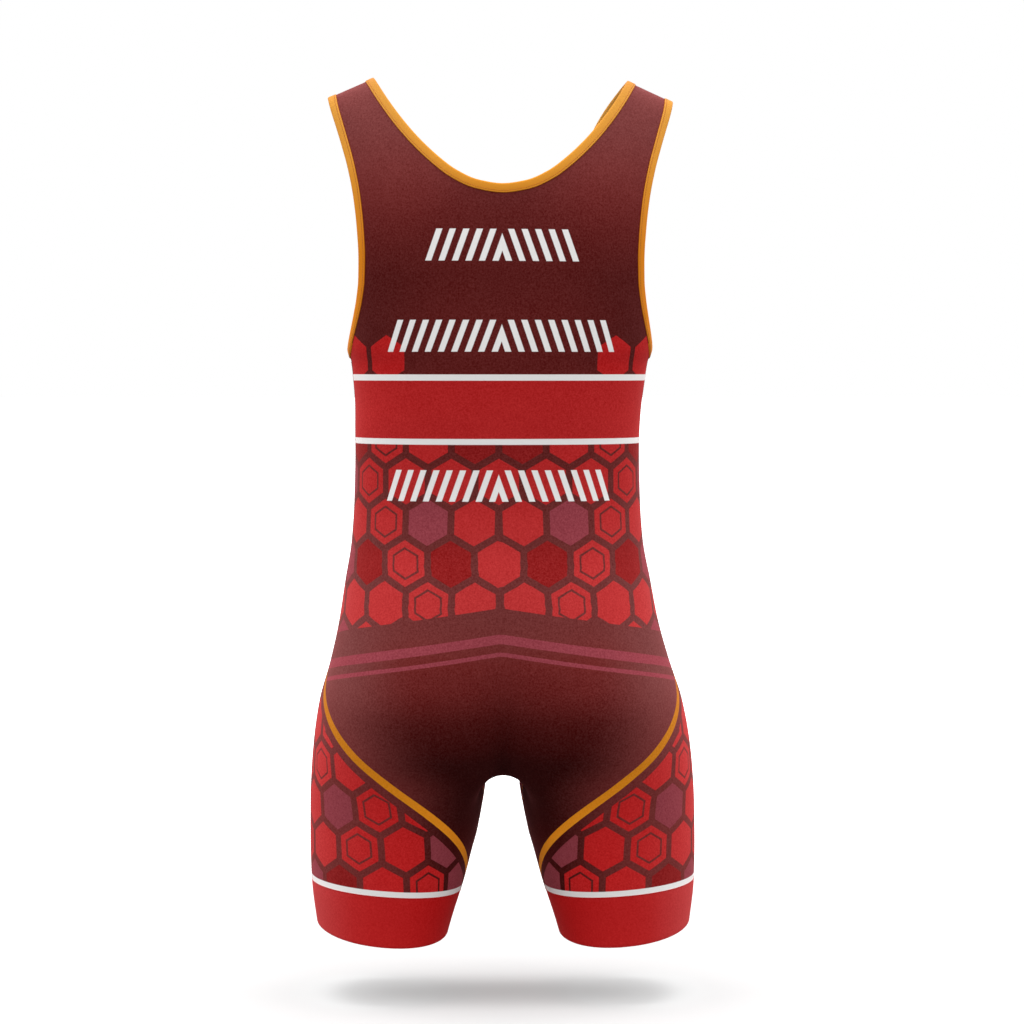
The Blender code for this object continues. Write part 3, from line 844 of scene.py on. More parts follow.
# The leg bands' red by distance from the centre plane, with painted sheen: whiter towards the
# outside of the leg and least white on the inside
BAND_SHEEN_BY_REACH = (
    (0.055, (0.478, 0.0060, 0.0065)),
    (0.075, (0.480, 0.0085, 0.0090)),
    (0.100, (0.485, 0.0125, 0.0130)),
    (0.130, (0.488, 0.0150, 0.0155)),
    (0.145, (0.488, 0.0180, 0.0185)),
    (0.160, (0.492, 0.0270, 0.0280)),
    (0.175, (0.496, 0.0360, 0.0370)),
    (0.190, (0.500, 0.0420, 0.0430)),
)
WHITE = (0.81, 0.80, 0.79)
GOLD_THREAD = (0.40, 0.105, 0.009)
SEAM_THREAD = (0.30, 0.016, 0.014)
PAINTED_EDGE_SHADOW = (0.15, 0.020, 0.006)  # painted contact shadow: a dark line where the binding's edge meets the cloth
EDGE_SHADOW_WIDTH = 0.8 * MM
LINING_GOLD_PAINTED_LIGHT = (0.85, 0.43, 0.08)   # the binding's underside, painted paler: painted light where it lies in shade
FOLDED_AT = 13.0 * MM            # how far round the binding its underside begins
ARM_FOOT = -0.264                # below this height an armhole's binding has no painted edge shadow and is gold to its edge

# How strong a dye is, and how much white is added to it, by height: painted light, shade and sheen.
# The maroon is painted paler on the shoulders, where the top light falls, darker low on the yoke,
# and deeper under the seat and at the crotch, where shade falls. The added white is painted sheen,
# most over the hips and on the sides. Maroon and red have one table for the middle of the body and
# one for its sides.
MAROON_MIDDLE_SHADE = ((-0.86, 0.6, -0.001), (-0.79, 0.46, -0.002), (-0.762, 0.48, -0.002),
                 (-0.732, 0.29, -0.0015), (-0.70, 0.265, -0.001), (-0.673, 0.29, -0.0008),
                 (-0.659, 0.43, -0.0008), (-0.629, 0.69, -0.0005), (-0.60, 1.10, 0.001),
                 (-0.575, 1.27, 0.003), (-0.55, 1.25, 0.012), (-0.52, 1.17, 0.014),
                 (-0.48, 1.12, 0.012), (-0.42, 1.09, 0.009), (-0.37, 1.0, 0.0045),
                 (-0.30, 0.99, 0.001), (-0.235, 0.94, 0.001), (-0.20, 0.88, 0.001),
                 (-0.14, 0.99, 0.0025), (-0.105, 1.04, 0.0085), (-0.07, 1.22, 0.015),
                 (0.0, 0.95, 0.017))
MAROON_SIDES_SHADE = ((-0.86, 1.2, 0.0075), (-0.75, 1.44, 0.011), (-0.69, 1.32, 0.0105),
                (-0.63, 1.25, 0.019), (-0.58, 1.17, 0.026), (-0.50, 1.13, 0.022),
                (-0.40, 1.20, 0.0125), (-0.36, 1.08, 0.0055), (-0.285, 0.67, 0), (-0.20, 0.72, 0),
                (-0.165, 0.99, 0.001), (-0.14, 1.17, 0.003), (-0.12, 1.31, 0.0065),
                (-0.095, 1.37, 0.0125), (-0.06, 1.22, 0.0185), (0.0, 0.95, 0.019))
RED_MIDDLE_SHADE = ((-0.86, 1.17, 0.001), (-0.70, 1.18, 0.003), (-0.63, 1.05, 0.013),
             (-0.59, 0.99, 0.018), (-0.50, 0.95, 0.018), (-0.45, 0.95, 0.015),
             (-0.41, 0.98, 0.010), (-0.36, 1.005, 0.008), (-0.305, 0.995, 0.005),
             (-0.29, 1.0, 0.0005), (0.0, 1.0, 0.0))
RED_SIDES_SHADE = ((-0.86, 1.07, 0.019), (-0.70, 1.09, 0.018), (-0.63, 1.03, 0.024),
             (-0.59, 0.98, 0.029), (-0.50, 0.95, 0.027), (-0.45, 0.95, 0.021),
             (-0.41, 0.97, 0.015), (-0.36, 0.98, 0.011), (-0.305, 0.98, 0.009),
             (-0.29, 1.0, 0.001), (0.0, 1.0, 0.001))
# Painted light in the gold slash: lighter low down towards the crotch, where shade falls, than up
# at the hip.
SLASH_SHADE = ((-0.86, 1.38, 0), (-0.745, 1.38, 0), (-0.72, 1.30, 0), (-0.69, 1.13, 0),
               (-0.66, 0.87, 0), (-0.63, 0.81, 0), (-0.60, 0.75, 0), (0.0, 0.75, 0))
# How far out on the flat cloth the maroon's middle ends and its sides begin, by height
SIDES_FROM = ((-0.86, 0.105), (-0.762, 0.105), (-0.70, 0.085), (-0.66, 0.112), (-0.63, 0.125),
              (-0.33, 0.125), (-0.25, 0.095), (-0.20, 0.085), (-0.15, 0.058),
              (-0.115, 0.048), (0.0, 0.055))
SOFT_REACH = 0.048               # how far to each side of there the change reaches
RED_CHANGE = (0.11, 0.23)        # where the red changes from its middle to its sides

CELL = 46.0 * MM                 # the honeycomb's width across flats
CELL_GAP = 0.075                 # half the gap between cells, as a share of that width
CELL_SOFT = 0.008                # how soft a cell's edge is, likewise
CELL_RING = (0.20, 0.245)        # where a ringed cell's ring lies in from its edge, likewise
# Which cells are deep red, rose and ringed: each has a number from 0 to 1
DEEP_OVER, ROSE_OVER, RINGED_UNDER = 0.70, 0.84, 0.30
SEAM_CELLS = 0.172               # from here out the cells under the armholes meet at the seam
HALF_TALL = math.sqrt(3) / 2     # a cell row's height for a width of 1
NEXT_ROW = (0.5, HALF_TALL, 0)   # from one cell's middle to the next row's


def honeycomb_group():
    """Six-sided cells: how far in from the edge, a number for each cell, and its middle."""
    tree, given, result = group(
        "Honeycomb",
        [("Flat Cloth", "NodeSocketVector", None), ("Cell Width", "NodeSocketFloat", CELL),
         ("Seed", "NodeSocketFloat", 3.0)],
        [("Inside", "NodeSocketFloat"), ("Cell Number", "NodeSocketFloat"),
         ("Cell Middle", "NodeSocketVector")])
    width = given.outputs["Cell Width"]
    place = scaled(tree, given.outputs["Flat Cloth"], calc(tree, "DIVIDE", 1.0, width))
    # the cells' middles lie on two grids, and each point belongs to the nearer middle
    offsets, distances = [], []
    for shift in ((0, 0, 0), NEXT_ROW):
        moved = vector_calc(tree, "SUBTRACT", place, shift)
        offset = vector_calc(tree, "WRAP", moved, (0.5, HALF_TALL, 1), (-0.5, -HALF_TALL, -1))
        offsets.append(offset)
        distances.append(vector_calc(tree, "LENGTH", offset, output="Value"))
    first = calc(tree, "LESS_THAN", distances[0], distances[1])
    offset = mixed(tree, "VECTOR", first, offsets[1], offsets[0])
    folded = vector_calc(tree, "ABSOLUTE", offset)
    slanted = vector_calc(tree, "DOT_PRODUCT", folded, NEXT_ROW, output="Value")
    straight = xyz(tree, folded)[0]
    inside = calc(tree, "SUBTRACT", 0.5, calc(tree, "MAXIMUM", slanted, straight))
    middle = vector_calc(tree, "SUBTRACT", place, offset)
    counted = vector_calc(tree, "DIVIDE", middle, (0.5, HALF_TALL, 1))
    whole = vector_calc(tree, "FLOOR", vector_calc(tree, "ADD", counted, (0.5, 0.5, 0.5)))
    flat_whole = vector_calc(tree, "MULTIPLY", whole, (1, 1, 0))
    seeded = put(tree, "ShaderNodeTexWhiteNoise",
                 {"Vector": flat_whole, "W": given.outputs["Seed"]}, noise_dimensions="4D")
    feed_all(tree, result, {"Inside": inside, "Cell Number": seeded.outputs["Value"],
                            "Cell Middle": scaled(tree, middle, width)})
    return tree


# Rows of slanted bars: lowest and highest point, reach to each side, on the back only
BAR_ROWS = ((-0.1852, -0.1546, 0.077, True), (-0.2724, -0.2418, 0.117, False),
            (-0.4176, -0.3872, 0.117, False))
BAR_STEP = 13.0 * MM
BAR_WIDTH = 6.0 * MM
BAR_SLANT = 0.36

STRIPES = ((-0.3003, -0.2943), (-0.3624, -0.3567))   # lowest and highest point of each
LEG_STRIPE = 5.6 * MM

# A cell under the armholes has its middle further out than this line: the distance from the
# centre where the line is at height 0, and how much that falls for each metre up
WEDGE = (0.355, -0.9)
# Slanting lines: height at the centre, and rise for each metre outwards
WAIST_END = (-0.520, -0.15)      # where the cells of the waist end
SLASH = (-0.8085, 0.90)          # the lower side of the gold slash over the thigh
SLASH_WIDTH = 0.011
SLASH_GAP = 0.012                # plain cloth between the slash and the thigh's cells
CHEVRONS = ((-0.545, 0.009), (-0.562, 0.004))        # height at the centre, and width


def print_group(honeycomb):
    """The print with painted light, shade and sheen by height: plain yoke, red chest band between
    white lines, honeycomb, gold slash.
    """
    tree, given, result = group(
        "Singlet print",
        [("Flat Cloth", "NodeSocketVector", None), ("Over Leg Line", "NodeSocketFloat", 1.0),
         ("On Back", "NodeSocketFloat", 1.0)],
        [("Colour", "NodeSocketColor")])
    flat_x, height, _ = xyz(tree, given.outputs["Flat Cloth"])
    across = calc(tree, "ABSOLUTE", flat_x)
    cell = put(tree, "ShaderNodeGroup", {"Flat Cloth": combined(tree, {0: across, 1: height})},
               node_tree=honeycomb).outputs
    inside, number = cell["Inside"], cell["Cell Number"]
    middle_x, middle_height, _ = xyz(tree, cell["Cell Middle"])

    def slanting(level, rise):
        """A line's height at this distance across: level at the centre."""
        return calc(tree, "MULTIPLY_ADD", across, rise, level)

    # A dye by height with painted light and shade: the table's strength scales it, and its white, a
    # painted sheen, is added.
    def painted_light_and_shade(dye, table):
        return colour_by(tree, height, [(level, [strength * part + white for part in dye])
                                        for level, strength, white in table])

    # maroon and red with painted light, shade and sheen, one table for the middle and one for the
    # sides
    border = colour_by(tree, height, [(level, (out, out, out)) for level, out in SIDES_FROM])
    past_border = calc(tree, "SUBTRACT", across, border)
    aside = ramp(tree, past_border, -SOFT_REACH, SOFT_REACH, smooth=True)
    maroon = paint(tree, aside, painted_light_and_shade(MAROON, MAROON_MIDDLE_SHADE), painted_light_and_shade(MAROON, MAROON_SIDES_SHADE))
    outermost = ramp(tree, across, *RED_CHANGE, smooth=True)
    red = paint(tree, outermost, painted_light_and_shade(RED, RED_MIDDLE_SHADE), painted_light_and_shade(RED, RED_SIDES_SHADE))

    # which cells are coloured, and how
    tile = ramp(tree, inside, CELL_GAP - CELL_SOFT, CELL_GAP + CELL_SOFT, smooth=True)
    ring = between(tree, calc(tree, "MULTIPLY", inside, CELL), *(CELL * at for at in CELL_RING))
    colour = paint(tree, calc(tree, "GREATER_THAN", number, DEEP_OVER), red, DEEP_RED)
    ringed = both(tree, ring, calc(tree, "LESS_THAN", number, RINGED_UNDER))
    colour = paint(tree, ringed, colour, maroon)
    colour = paint(tree, calc(tree, "GREATER_THAN", number, ROSE_OVER), colour, ROSE)

    # where the honeycomb is: under the armholes, over the waist, and down the thighs
    wedge = calc(tree, "MULTIPLY_ADD", middle_height, WEDGE[1], middle_x)
    side_cells = both(tree, calc(tree, "GREATER_THAN", wedge, WEDGE[0]),
                      over(tree, height, STRIPES[0][0]))
    waist_cells = both(tree, over(tree, STRIPES[1][1], height),
                       over(tree, height, slanting(*WAIST_END)))
    slash = slanting(*SLASH)
    thigh_cells = over(tree, calc(tree, "SUBTRACT", slash, SLASH_GAP), height)
    shown = calc(tree, "MAXIMUM", calc(tree, "MAXIMUM", side_cells, waist_cells), thigh_cells)
    closed = both(tree, side_cells, over(tree, across, SEAM_CELLS))
    tile = calc(tree, "MAXIMUM", tile, closed)
    base = paint(tree, both(tree, tile, shown), maroon, colour)

    # two rose chevrons under the waist, and the gold slash over the thigh
    rise = WAIST_END[1]
    for level, width in CHEVRONS:
        rose = between(tree, height, slanting(level - width, rise), slanting(level, rise))
        base = paint(tree, rose, base, ROSE)
    gold = between(tree, height, slash, calc(tree, "ADD", slash, SLASH_WIDTH))
    base = paint(tree, gold, base, painted_light_and_shade(GOLD, SLASH_SHADE))

    # the red band and its lines
    base = paint(tree, between(tree, height, STRIPES[1][0], STRIPES[0][1]), base, red)
    for low, high in STRIPES:
        base = paint(tree, between(tree, height, low, high), base, WHITE)

    # rows of slanted bars
    for low, high, reach, back_only in BAR_ROWS:
        slid = calc(tree, "MULTIPLY_ADD", calc(tree, "SUBTRACT", height, low), BAR_SLANT, across)
        step = calc(tree, "PINGPONG", slid, BAR_STEP / 2)
        bar = both(tree, over(tree, step, (BAR_STEP - BAR_WIDTH) / 2),
                   between(tree, height, low, high), over(tree, reach, slid))
        if back_only:
            bar = both(tree, bar, given.outputs["On Back"])
        base = paint(tree, bar, base, WHITE)

    leg_line = over(tree, LEG_STRIPE, given.outputs["Over Leg Line"])
    base = paint(tree, leg_line, base, WHITE)
    tree.links.new(base, result.inputs["Colour"])
    return tree


KNIT_LOOP = 0.75 * MM            # the loops' width in the body cloth and the leg bands
LOOP_BEND = 2.2                  # how far the rows of loops bend, and how close they lie
LOOP_ROWS = 1.3
LOOP_RELIEF = 0.6                # the loops' share of the relief; the grain has the rest
GRAIN = (560.0, 2.0, 0.75)       # noise of the specks: scale, detail and roughness
PATCHES = (28.0, 3.0, 0.6)       # and of broader, fainter patches
PATCH_SHARE = 0.12
RED_CALM = 0.8                   # how much fainter the specks are in a strong red
FADE = 0.027                     # how much the specks differ in whiteness


def cloth_group():
    """Knitted cloth close to: the loops' relief, and a fine speckle in the dye."""
    tree, given, result = group(
        "Stretch knit",
        [("Flat Cloth", "NodeSocketVector", None), ("Colour", "NodeSocketColor", (1, 1, 1, 1)),
         ("Loop Width", "NodeSocketFloat", KNIT_LOOP), ("Speckle", "NodeSocketFloat", 0.16)],
        [("Colour", "NodeSocketColor"), ("Relief", "NodeSocketFloat")])
    colour, speckle = given.outputs["Colour"], given.outputs["Speckle"]

    # the loops: straight ribs one way, rows bent at each rib the other way
    per_loop = calc(tree, "DIVIDE", 2 * math.pi, given.outputs["Loop Width"])
    rib, row, _ = xyz(tree, scaled(tree, given.outputs["Flat Cloth"], per_loop))
    bend = calc(tree, "ABSOLUTE", calc(tree, "SINE", calc(tree, "MULTIPLY", rib, 0.5)))
    bent_row = calc(tree, "MULTIPLY_ADD", bend, LOOP_BEND, calc(tree, "MULTIPLY", row, LOOP_ROWS))
    crossing = calc(tree, "MULTIPLY", calc(tree, "COSINE", rib), calc(tree, "COSINE", bent_row))
    loops = calc(tree, "MULTIPLY_ADD", crossing, 0.5, 0.5)

    # the speckle: lighter and darker specks, fainter in white and in strong red
    grain, patches = noise(tree, *GRAIN), noise(tree, *PATCHES)
    speckled = calc(tree, "MULTIPLY_ADD", patches, PATCH_SHARE,
                    calc(tree, "MULTIPLY", grain, 1 - PATCH_SHARE))
    red, green, _ = xyz(tree, colour)
    uneven = calc(tree, "MULTIPLY", calc(tree, "SUBTRACT", speckled, 0.5),
                  calc(tree, "SUBTRACT", 1.0, green))
    fainter = calc(tree, "MULTIPLY", uneven, calc(tree, "MULTIPLY_ADD", red, -RED_CALM, 1.0))
    shade = scaled(tree, colour, calc(tree, "MULTIPLY_ADD", fainter, speckle, 1.0))
    pale = calc(tree, "MULTIPLY", uneven, calc(tree, "MULTIPLY", speckle, FADE))
    shade = vector_calc(tree, "MAXIMUM", vector_calc(tree, "ADD", shade, pale), (0, 0, 0))
    relief = calc(tree, "MULTIPLY_ADD", loops, LOOP_RELIEF,
                  calc(tree, "MULTIPLY", grain, 1 - LOOP_RELIEF))
    feed_all(tree, result, {"Colour": shade, "Relief": relief})
    return tree


RELIEF_STRENGTH = 0.6
SHINE = 0.045                    # specular level: the cloth is matt
SHEEN_ROUGHNESS = 0.45
SHEEN_TINT = (1.0, 0.24, 0.24, 1)
PAINTED_GRAZING_SHEEN = 0.34                       # how much lighter the colour is painted where the cloth is seen edge-on: a painted sheen


def finish_cloth(name, knit, colour, loop_width, speckle, relief, roughness, sheen):
    """A cloth material. colour is a function that makes the dye's nodes inside the material."""
    material, tree, shader = new_material(name)
    flat = put(tree, "ShaderNodeUVMap", uv_map="flat_cloth").outputs[0]
    inputs = {"Flat Cloth": flat, "Colour": colour(tree, flat), "Loop Width": loop_width,
              "Speckle": speckle}
    surface = put(tree, "ShaderNodeGroup", inputs, node_tree=knit).outputs
    bump = put(tree, "ShaderNodeBump", {"Strength": RELIEF_STRENGTH, "Distance": relief,
                                        "Height": surface["Relief"]}).outputs[0]
    # painted sheen: the base colour is made lighter where the cloth is seen edge-on
    grazing = put(tree, "ShaderNodeLayerWeight", {"Blend": 0.5}).outputs["Facing"]
    lighter = calc(tree, "MULTIPLY_ADD", grazing, PAINTED_GRAZING_SHEEN, 1.0)
    colour_with_painted_sheen = put(tree, "ShaderNodeHueSaturation",
              {"Color": surface["Colour"], "Value": lighter}).outputs[0]
    feed_all(tree, shader, {"Base Color": colour_with_painted_sheen, "Normal": bump, "Roughness": roughness,
                            "Specular IOR Level": SHINE, "Sheen Weight": sheen,
                            "Sheen Roughness": SHEEN_ROUGHNESS, "Sheen Tint": SHEEN_TINT})
    return material


def printed_colour(tree, flat, print_tree):
    """The print outside, plain maroon inside."""
    over_leg, inside, on_back = (
        put(tree, "ShaderNodeAttribute", attribute_name=name).outputs["Fac"]
        for name in ("over_leg_line", "inside", "on_back"))
    inputs = {"Flat Cloth": flat, "Over Leg Line": over_leg, "On Back": on_back}
    printed = put(tree, "ShaderNodeGroup", inputs, node_tree=print_tree)
    return paint(tree, inside, printed.outputs["Colour"], MAROON)


def binding_colour(tree, flat):
    """Gold with painted shade by height, an underside painted paler where it lies in shade, and a
    painted contact shadow along the edge where it meets the cloth.
    """
    height, around = xyz(tree, object_place(tree))[2], xyz(tree, flat)[1]
    gold = paint(tree, over(tree, around, FOLDED_AT), colour_by(tree, height, GOLD_SHADE_BY_HEIGHT),
                 LINING_GOLD_PAINTED_LIGHT)
    # the painted contact shadow along the binding's edge, which stops at the armhole's foot
    edge = both(tree, over(tree, EDGE_SHADOW_WIDTH, around), over(tree, height, ARM_FOOT))
    return paint(tree, edge, gold, PAINTED_EDGE_SHADOW)


def band_colour(tree, flat):
    """Red with painted sheen: a little paler on the outside of the leg. It doesn't go by the flat
    cloth.
    """
    sideways = calc(tree, "ABSOLUTE", xyz(tree, object_place(tree))[0])
    return colour_by(tree, sideways, BAND_SHEEN_BY_REACH)


THREAD_TWIST = 2500.0            # scale of the light and dark along a thread
THREAD_SHADES = (0.5, 0.75)      # how far its lightness varies, and from what
THREAD_ROUGHNESS = 0.55
THREAD_SHINE = 0.25


def thread_material(name, colour):
    material, tree, shader = new_material(name)
    lightness = calc(tree, "MULTIPLY_ADD", noise(tree, THREAD_TWIST), *THREAD_SHADES)
    shade = put(tree, "ShaderNodeHueSaturation", {"Color": (*colour, 1), "Value": lightness})
    feed_all(tree, shader, {"Base Color": shade.outputs[0], "Roughness": THREAD_ROUGHNESS,
                            "Specular IOR Level": THREAD_SHINE})
    return material


# ---------------------------------------------------------------- stitches

STITCH_BOW = 0.10                # how far its middle handle stands out, for a length of 1
STITCH_STEPS = 4
THREAD_SIDES = 5


def sewn_line_tree():
    """Stitches along a line: each one a short bowed thread that lies on the cloth."""
    tree, given, result = group(
        "Sewn line",
        [("Geometry", "NodeSocketGeometry", None), ("Pitch", "NodeSocketFloat", 2.5 * MM),
         ("Stitch Length", "NodeSocketFloat", 2 * MM),
         ("Thread Radius", "NodeSocketFloat", 0.2 * MM), ("Across", "NodeSocketFloat", 0.0),
         ("Slant", "NodeSocketFloat", 0.0), ("Lift", "NodeSocketFloat", 0.1 * MM),
         ("Unevenness", "NodeSocketFloat", 0.08), ("Seed", "NodeSocketInt", 5),
         ("Thread", "NodeSocketMaterial", None)],
        [("Geometry", "NodeSocketGeometry")], "GeometryNodeTree")
    value = given.outputs

    curve = put(tree, "GeometryNodeMeshToCurve", {"Mesh": value["Geometry"]}).outputs[0]
    spaced = put(tree, "GeometryNodeResampleCurve", {"Curve": curve, "Length": value["Pitch"]},
                 mode="LENGTH").outputs[0]
    tangent = put(tree, "GeometryNodeInputTangent").outputs[0]
    along = put(tree, "GeometryNodeStoreNamedAttribute",
                {"Geometry": spaced, "Name": "along", "Value": tangent},
                data_type="FLOAT_VECTOR", domain="POINT").outputs[0]
    ways = {name: put(tree, "GeometryNodeInputNamedAttribute", {"Name": name},
                      data_type="FLOAT_VECTOR").outputs[0] for name in ("along", "out")}
    index = put(tree, "GeometryNodeInputIndex").outputs[0]
    other = calc(tree, "MULTIPLY_ADD", calc(tree, "MODULO", index, 2.0), -2.0, 1.0)
    sideways = vector_calc(tree, "CROSS_PRODUCT", ways["along"], ways["out"])
    shift = scaled(tree, sideways, value["Across"])
    lift = scaled(tree, ways["out"], value["Lift"])
    offset = vector_calc(tree, "ADD", shift, lift)
    placed = put(tree, "GeometryNodeSetPosition", {"Geometry": along, "Offset": offset}).outputs[0]

    start, top, end = (
        combined(tree, {axis: calc(tree, "MULTIPLY", value["Stitch Length"], share)})
        for axis, share in ((0, -0.5), (2, STITCH_BOW), (0, 0.5)))
    bowed = put(tree, "GeometryNodeCurveQuadraticBezier",
                {"Resolution": STITCH_STEPS, "Start": start, "Middle": top,
                 "End": end}).outputs[0]
    ring = put(tree, "GeometryNodeCurvePrimitiveCircle",
               {"Resolution": THREAD_SIDES, "Radius": value["Thread Radius"]},
               mode="RADIUS").outputs[0]
    thread = put(tree, "GeometryNodeCurveToMesh",
                 {"Curve": bowed, "Profile Curve": ring, "Fill Caps": True}).outputs[0]
    smooth = put(tree, "GeometryNodeSetShadeSmooth", {0: thread}).outputs[0]

    turned = put(tree, "FunctionNodeAlignRotationToVector", {"Vector": ways["out"]},
                 axis="Z").outputs[0]
    turned = put(tree, "FunctionNodeAlignRotationToVector",
                 {"Rotation": turned, "Vector": ways["along"]}, axis="X",
                 pivot_axis="Z").outputs[0]
    random = put(tree, "FunctionNodeRandomValue", {"Seed": value["Seed"]}, data_type="FLOAT")
    spread = calc(tree, "MULTIPLY", value["Unevenness"],
                  calc(tree, "SUBTRACT", random.outputs[1], 0.5))
    angle = calc(tree, "MULTIPLY_ADD", value["Slant"], other, spread)
    turn = put(tree, "FunctionNodeAxisAngleToRotation",
               {"Axis": (0, 0, 1), "Angle": angle}).outputs[0]
    final = put(tree, "FunctionNodeRotateRotation", {"Rotation": turned, "Rotate By": turn},
                rotation_space="LOCAL").outputs[0]
    threads = put(tree, "GeometryNodeInstanceOnPoints",
                  {"Points": placed, "Instance": smooth, "Rotation": final}).outputs[0]
    real = put(tree, "GeometryNodeRealizeInstances", {0: threads}).outputs[0]
    dressed = put(tree, "GeometryNodeSetMaterial",
                  {"Geometry": real, "Material": value["Thread"]}).outputs[0]
    feed(tree, result.inputs[0], dressed)
    return tree


def stitch_rows(name, tree, lines, rows):
    """One mesh of all the stitches on these lines. Each row is a set of the tree's inputs."""
    meshes = []
    sockets = {item.name: item.identifier for item in tree.interface.items_tree
               if item.in_out == "INPUT"}
    for line, out in lines:
        for row in rows:
            mesh = bpy.data.meshes.new("line")
            mesh.from_pydata(line.tolist(), [(k, k + 1) for k in range(len(line) - 1)], [])
            mark = mesh.attributes.new("out", "FLOAT_VECTOR", "POINT")
            mark.data.foreach_set("vector", np.asarray(out, np.float32).ravel())
            piece = new_object("line", mesh)
            modifier = piece.modifiers.new("sewn", "NODES")
            modifier.node_group = tree
            for key, value in row.items():
                modifier[sockets[key]] = value
            graph = bpy.context.evaluated_depsgraph_get()
            meshes.append(bpy.data.meshes.new_from_object(piece.evaluated_get(graph)))
            bpy.data.objects.remove(piece)
    joined_mesh = bmesh.new()
    for mesh in meshes:
        joined_mesh.from_mesh(mesh)
    final = bpy.data.meshes.new(name)
    joined_mesh.to_mesh(final)
    joined_mesh.free()
    final.materials.append(rows[0]["Thread"])
    final.shade_smooth()
    for mesh in meshes:
        bpy.data.meshes.remove(mesh)
    return new_object(name, final)


def sewing_line(points):
    """A line's finished places and the way out of the cloth at each."""
    return swayed(points), outward(points)


def seam_lines():
    """Side seams, inseams and shoulder seams on the outside of the cloth, both halves."""
    outer, inner, _, shoulder, _, _ = panel_lines("back", 2 ** DOUBLINGS)
    count = SIDE_ROWS * 2 ** DOUBLINGS
    inner_count = INSEAM_ROWS * 2 ** DOUBLINGS
    lines = []
    for line in (outer[:count], inner[:inner_count + 1], shoulder):
        for side in (line, line * MIRROR):
            out = outward(side)
            lines.append((swayed(side + out * CLOTH / 2), out))
    return lines


# ---------------------------------------------------------------- the scene

FLOOR_HEIGHT = -0.915
CAMERA_PLACE = (0.05, 3.0, -0.288)
CAMERA_AIM = (-0.0115, 0.0, -0.432)
FRAME_WIDTH = 1.024              # how wide the picture is at the aim
SENSOR = 36


def aim(thing, place, target):
    """Sets a camera or lamp up at a place, turned to its target. Returns how far off that is."""
    look = Vector(target) - Vector(place)
    thing.location = place
    thing.rotation_euler = look.to_track_quat("-Z", "Y").to_euler()
    return look.length


def camera():
    data = bpy.data.cameras.new("camera")
    eye = new_object("camera", data)
    distance = aim(eye, CAMERA_PLACE, CAMERA_AIM)
    data.sensor_width = SENSOR
    data.lens = SENSOR * distance / FRAME_WIDTH
    bpy.context.scene.camera = eye


def softbox(name, place, target, size, power):
    data = bpy.data.lights.new(name, "AREA")
    data.shape = "RECTANGLE"
    data.size, data.size_y = size
    data.energy = power
    lamp = new_object(name, data)
    aim(lamp, place, target)
    return lamp


WHITE_LIGHT = (1, 1, 1, 1)
FLOOR_GREY = (0.465, 0.465, 0.465, 1)
FLOOR_REACH = 60.0
# The floor's glow by distance from the middle: where it starts and stops changing, and how strong
# it is at each. The two are added up. The first keeps the glow low under the garment, which paints
# a soft shadow there along with the cast one.
GLOW_PAINTED_SHADOW = (0.0, 0.21, 0.08, 0.28)   # painted shadow under the garment, where distances in depth count double
GLOW_FAR = (0.35, 1.3, 0.0, 1.0)
# The surround's light by height, likewise. The two are multiplied.
SKY_ABOVE = (-0.12, 0.08, 0.03, 1.0)
SKY_FALL = (0.0, 1.0, 1.85, 0.95)


def floor_material():
    material, tree, shader = new_material("studio_floor")
    place = object_place(tree)
    from_middle, from_under = (
        vector_calc(tree, "LENGTH", vector_calc(tree, "MULTIPLY", place, weights), output="Value")
        for weights in ((1, 1, 0), (1, 2, 0)))
    # the glow is low near the middle: a painted shadow under the garment
    near, far = ramp(tree, from_under, *GLOW_PAINTED_SHADOW, smooth=True), ramp(tree, from_middle, *GLOW_FAR)
    feed_all(tree, shader, {"Base Color": FLOOR_GREY, "Roughness": 1, "Specular IOR Level": 0,
                            "Emission Color": WHITE_LIGHT,
                            "Emission Strength": calc(tree, "ADD", near, far)})
    return material


def studio_floor():
    """A pale floor that glows softly, less under the garment, where the glow paints a soft shadow,
    and throws no light back onto the cloth.
    """
    mesh = bpy.data.meshes.new("floor")
    corners = ((-1, -1), (1, -1), (1, 1), (-1, 1))
    points = [(FLOOR_REACH * x, FLOOR_REACH * y, FLOOR_HEIGHT) for x, y in corners]
    mesh.from_pydata(points, [], [(0, 1, 2, 3)])
    mesh.materials.append(floor_material())
    floor = new_object("floor", mesh)
    floor.visible_diffuse = False
    floor.visible_glossy = False


def surround():
    """White where the camera sees it, and a soft light from above and all round."""
    world = bpy.data.worlds.new("studio")
    bpy.context.scene.world = world
    world.use_nodes = True
    tree = world.node_tree
    tree.nodes.clear()
    seen = put(tree, "ShaderNodeLightPath").outputs["Is Camera Ray"]
    height = xyz(tree, put(tree, "ShaderNodeTexCoord").outputs["Generated"])[2]
    soft = calc(tree, "MULTIPLY", ramp(tree, height, *SKY_ABOVE), ramp(tree, height, *SKY_FALL))
    strength = put(tree, "ShaderNodeMix", {0: seen, 2: soft, 3: 1.0}).outputs[0]
    light = put(tree, "ShaderNodeBackground", {"Color": WHITE_LIGHT, "Strength": strength})
    put(tree, "ShaderNodeOutputWorld", {0: light.outputs[0]})


def studio():
    """The floor, the surround and the lamps."""
    studio_floor()
    surround()
    middle, low = (0, 0, -0.35), (0, 0, -0.75)
    for side in (1, -1):
        softbox("key_softbox", (0, side * 2.6, 1.9), middle, size=(4.0, 1.6), power=14)
        softbox("top_softbox", (side * 2.0, 0, 6.0), middle, size=(3.6, 2.6), power=165)
        for face in (1, -1):
            place = (side * 2.6, face * -0.7, -1.1)
            strip = softbox("side_strip", place, low, size=(0.8, 1.2), power=42)
            strip.visible_diffuse = False
    bpy.context.scene.view_settings.view_transform = "Standard"


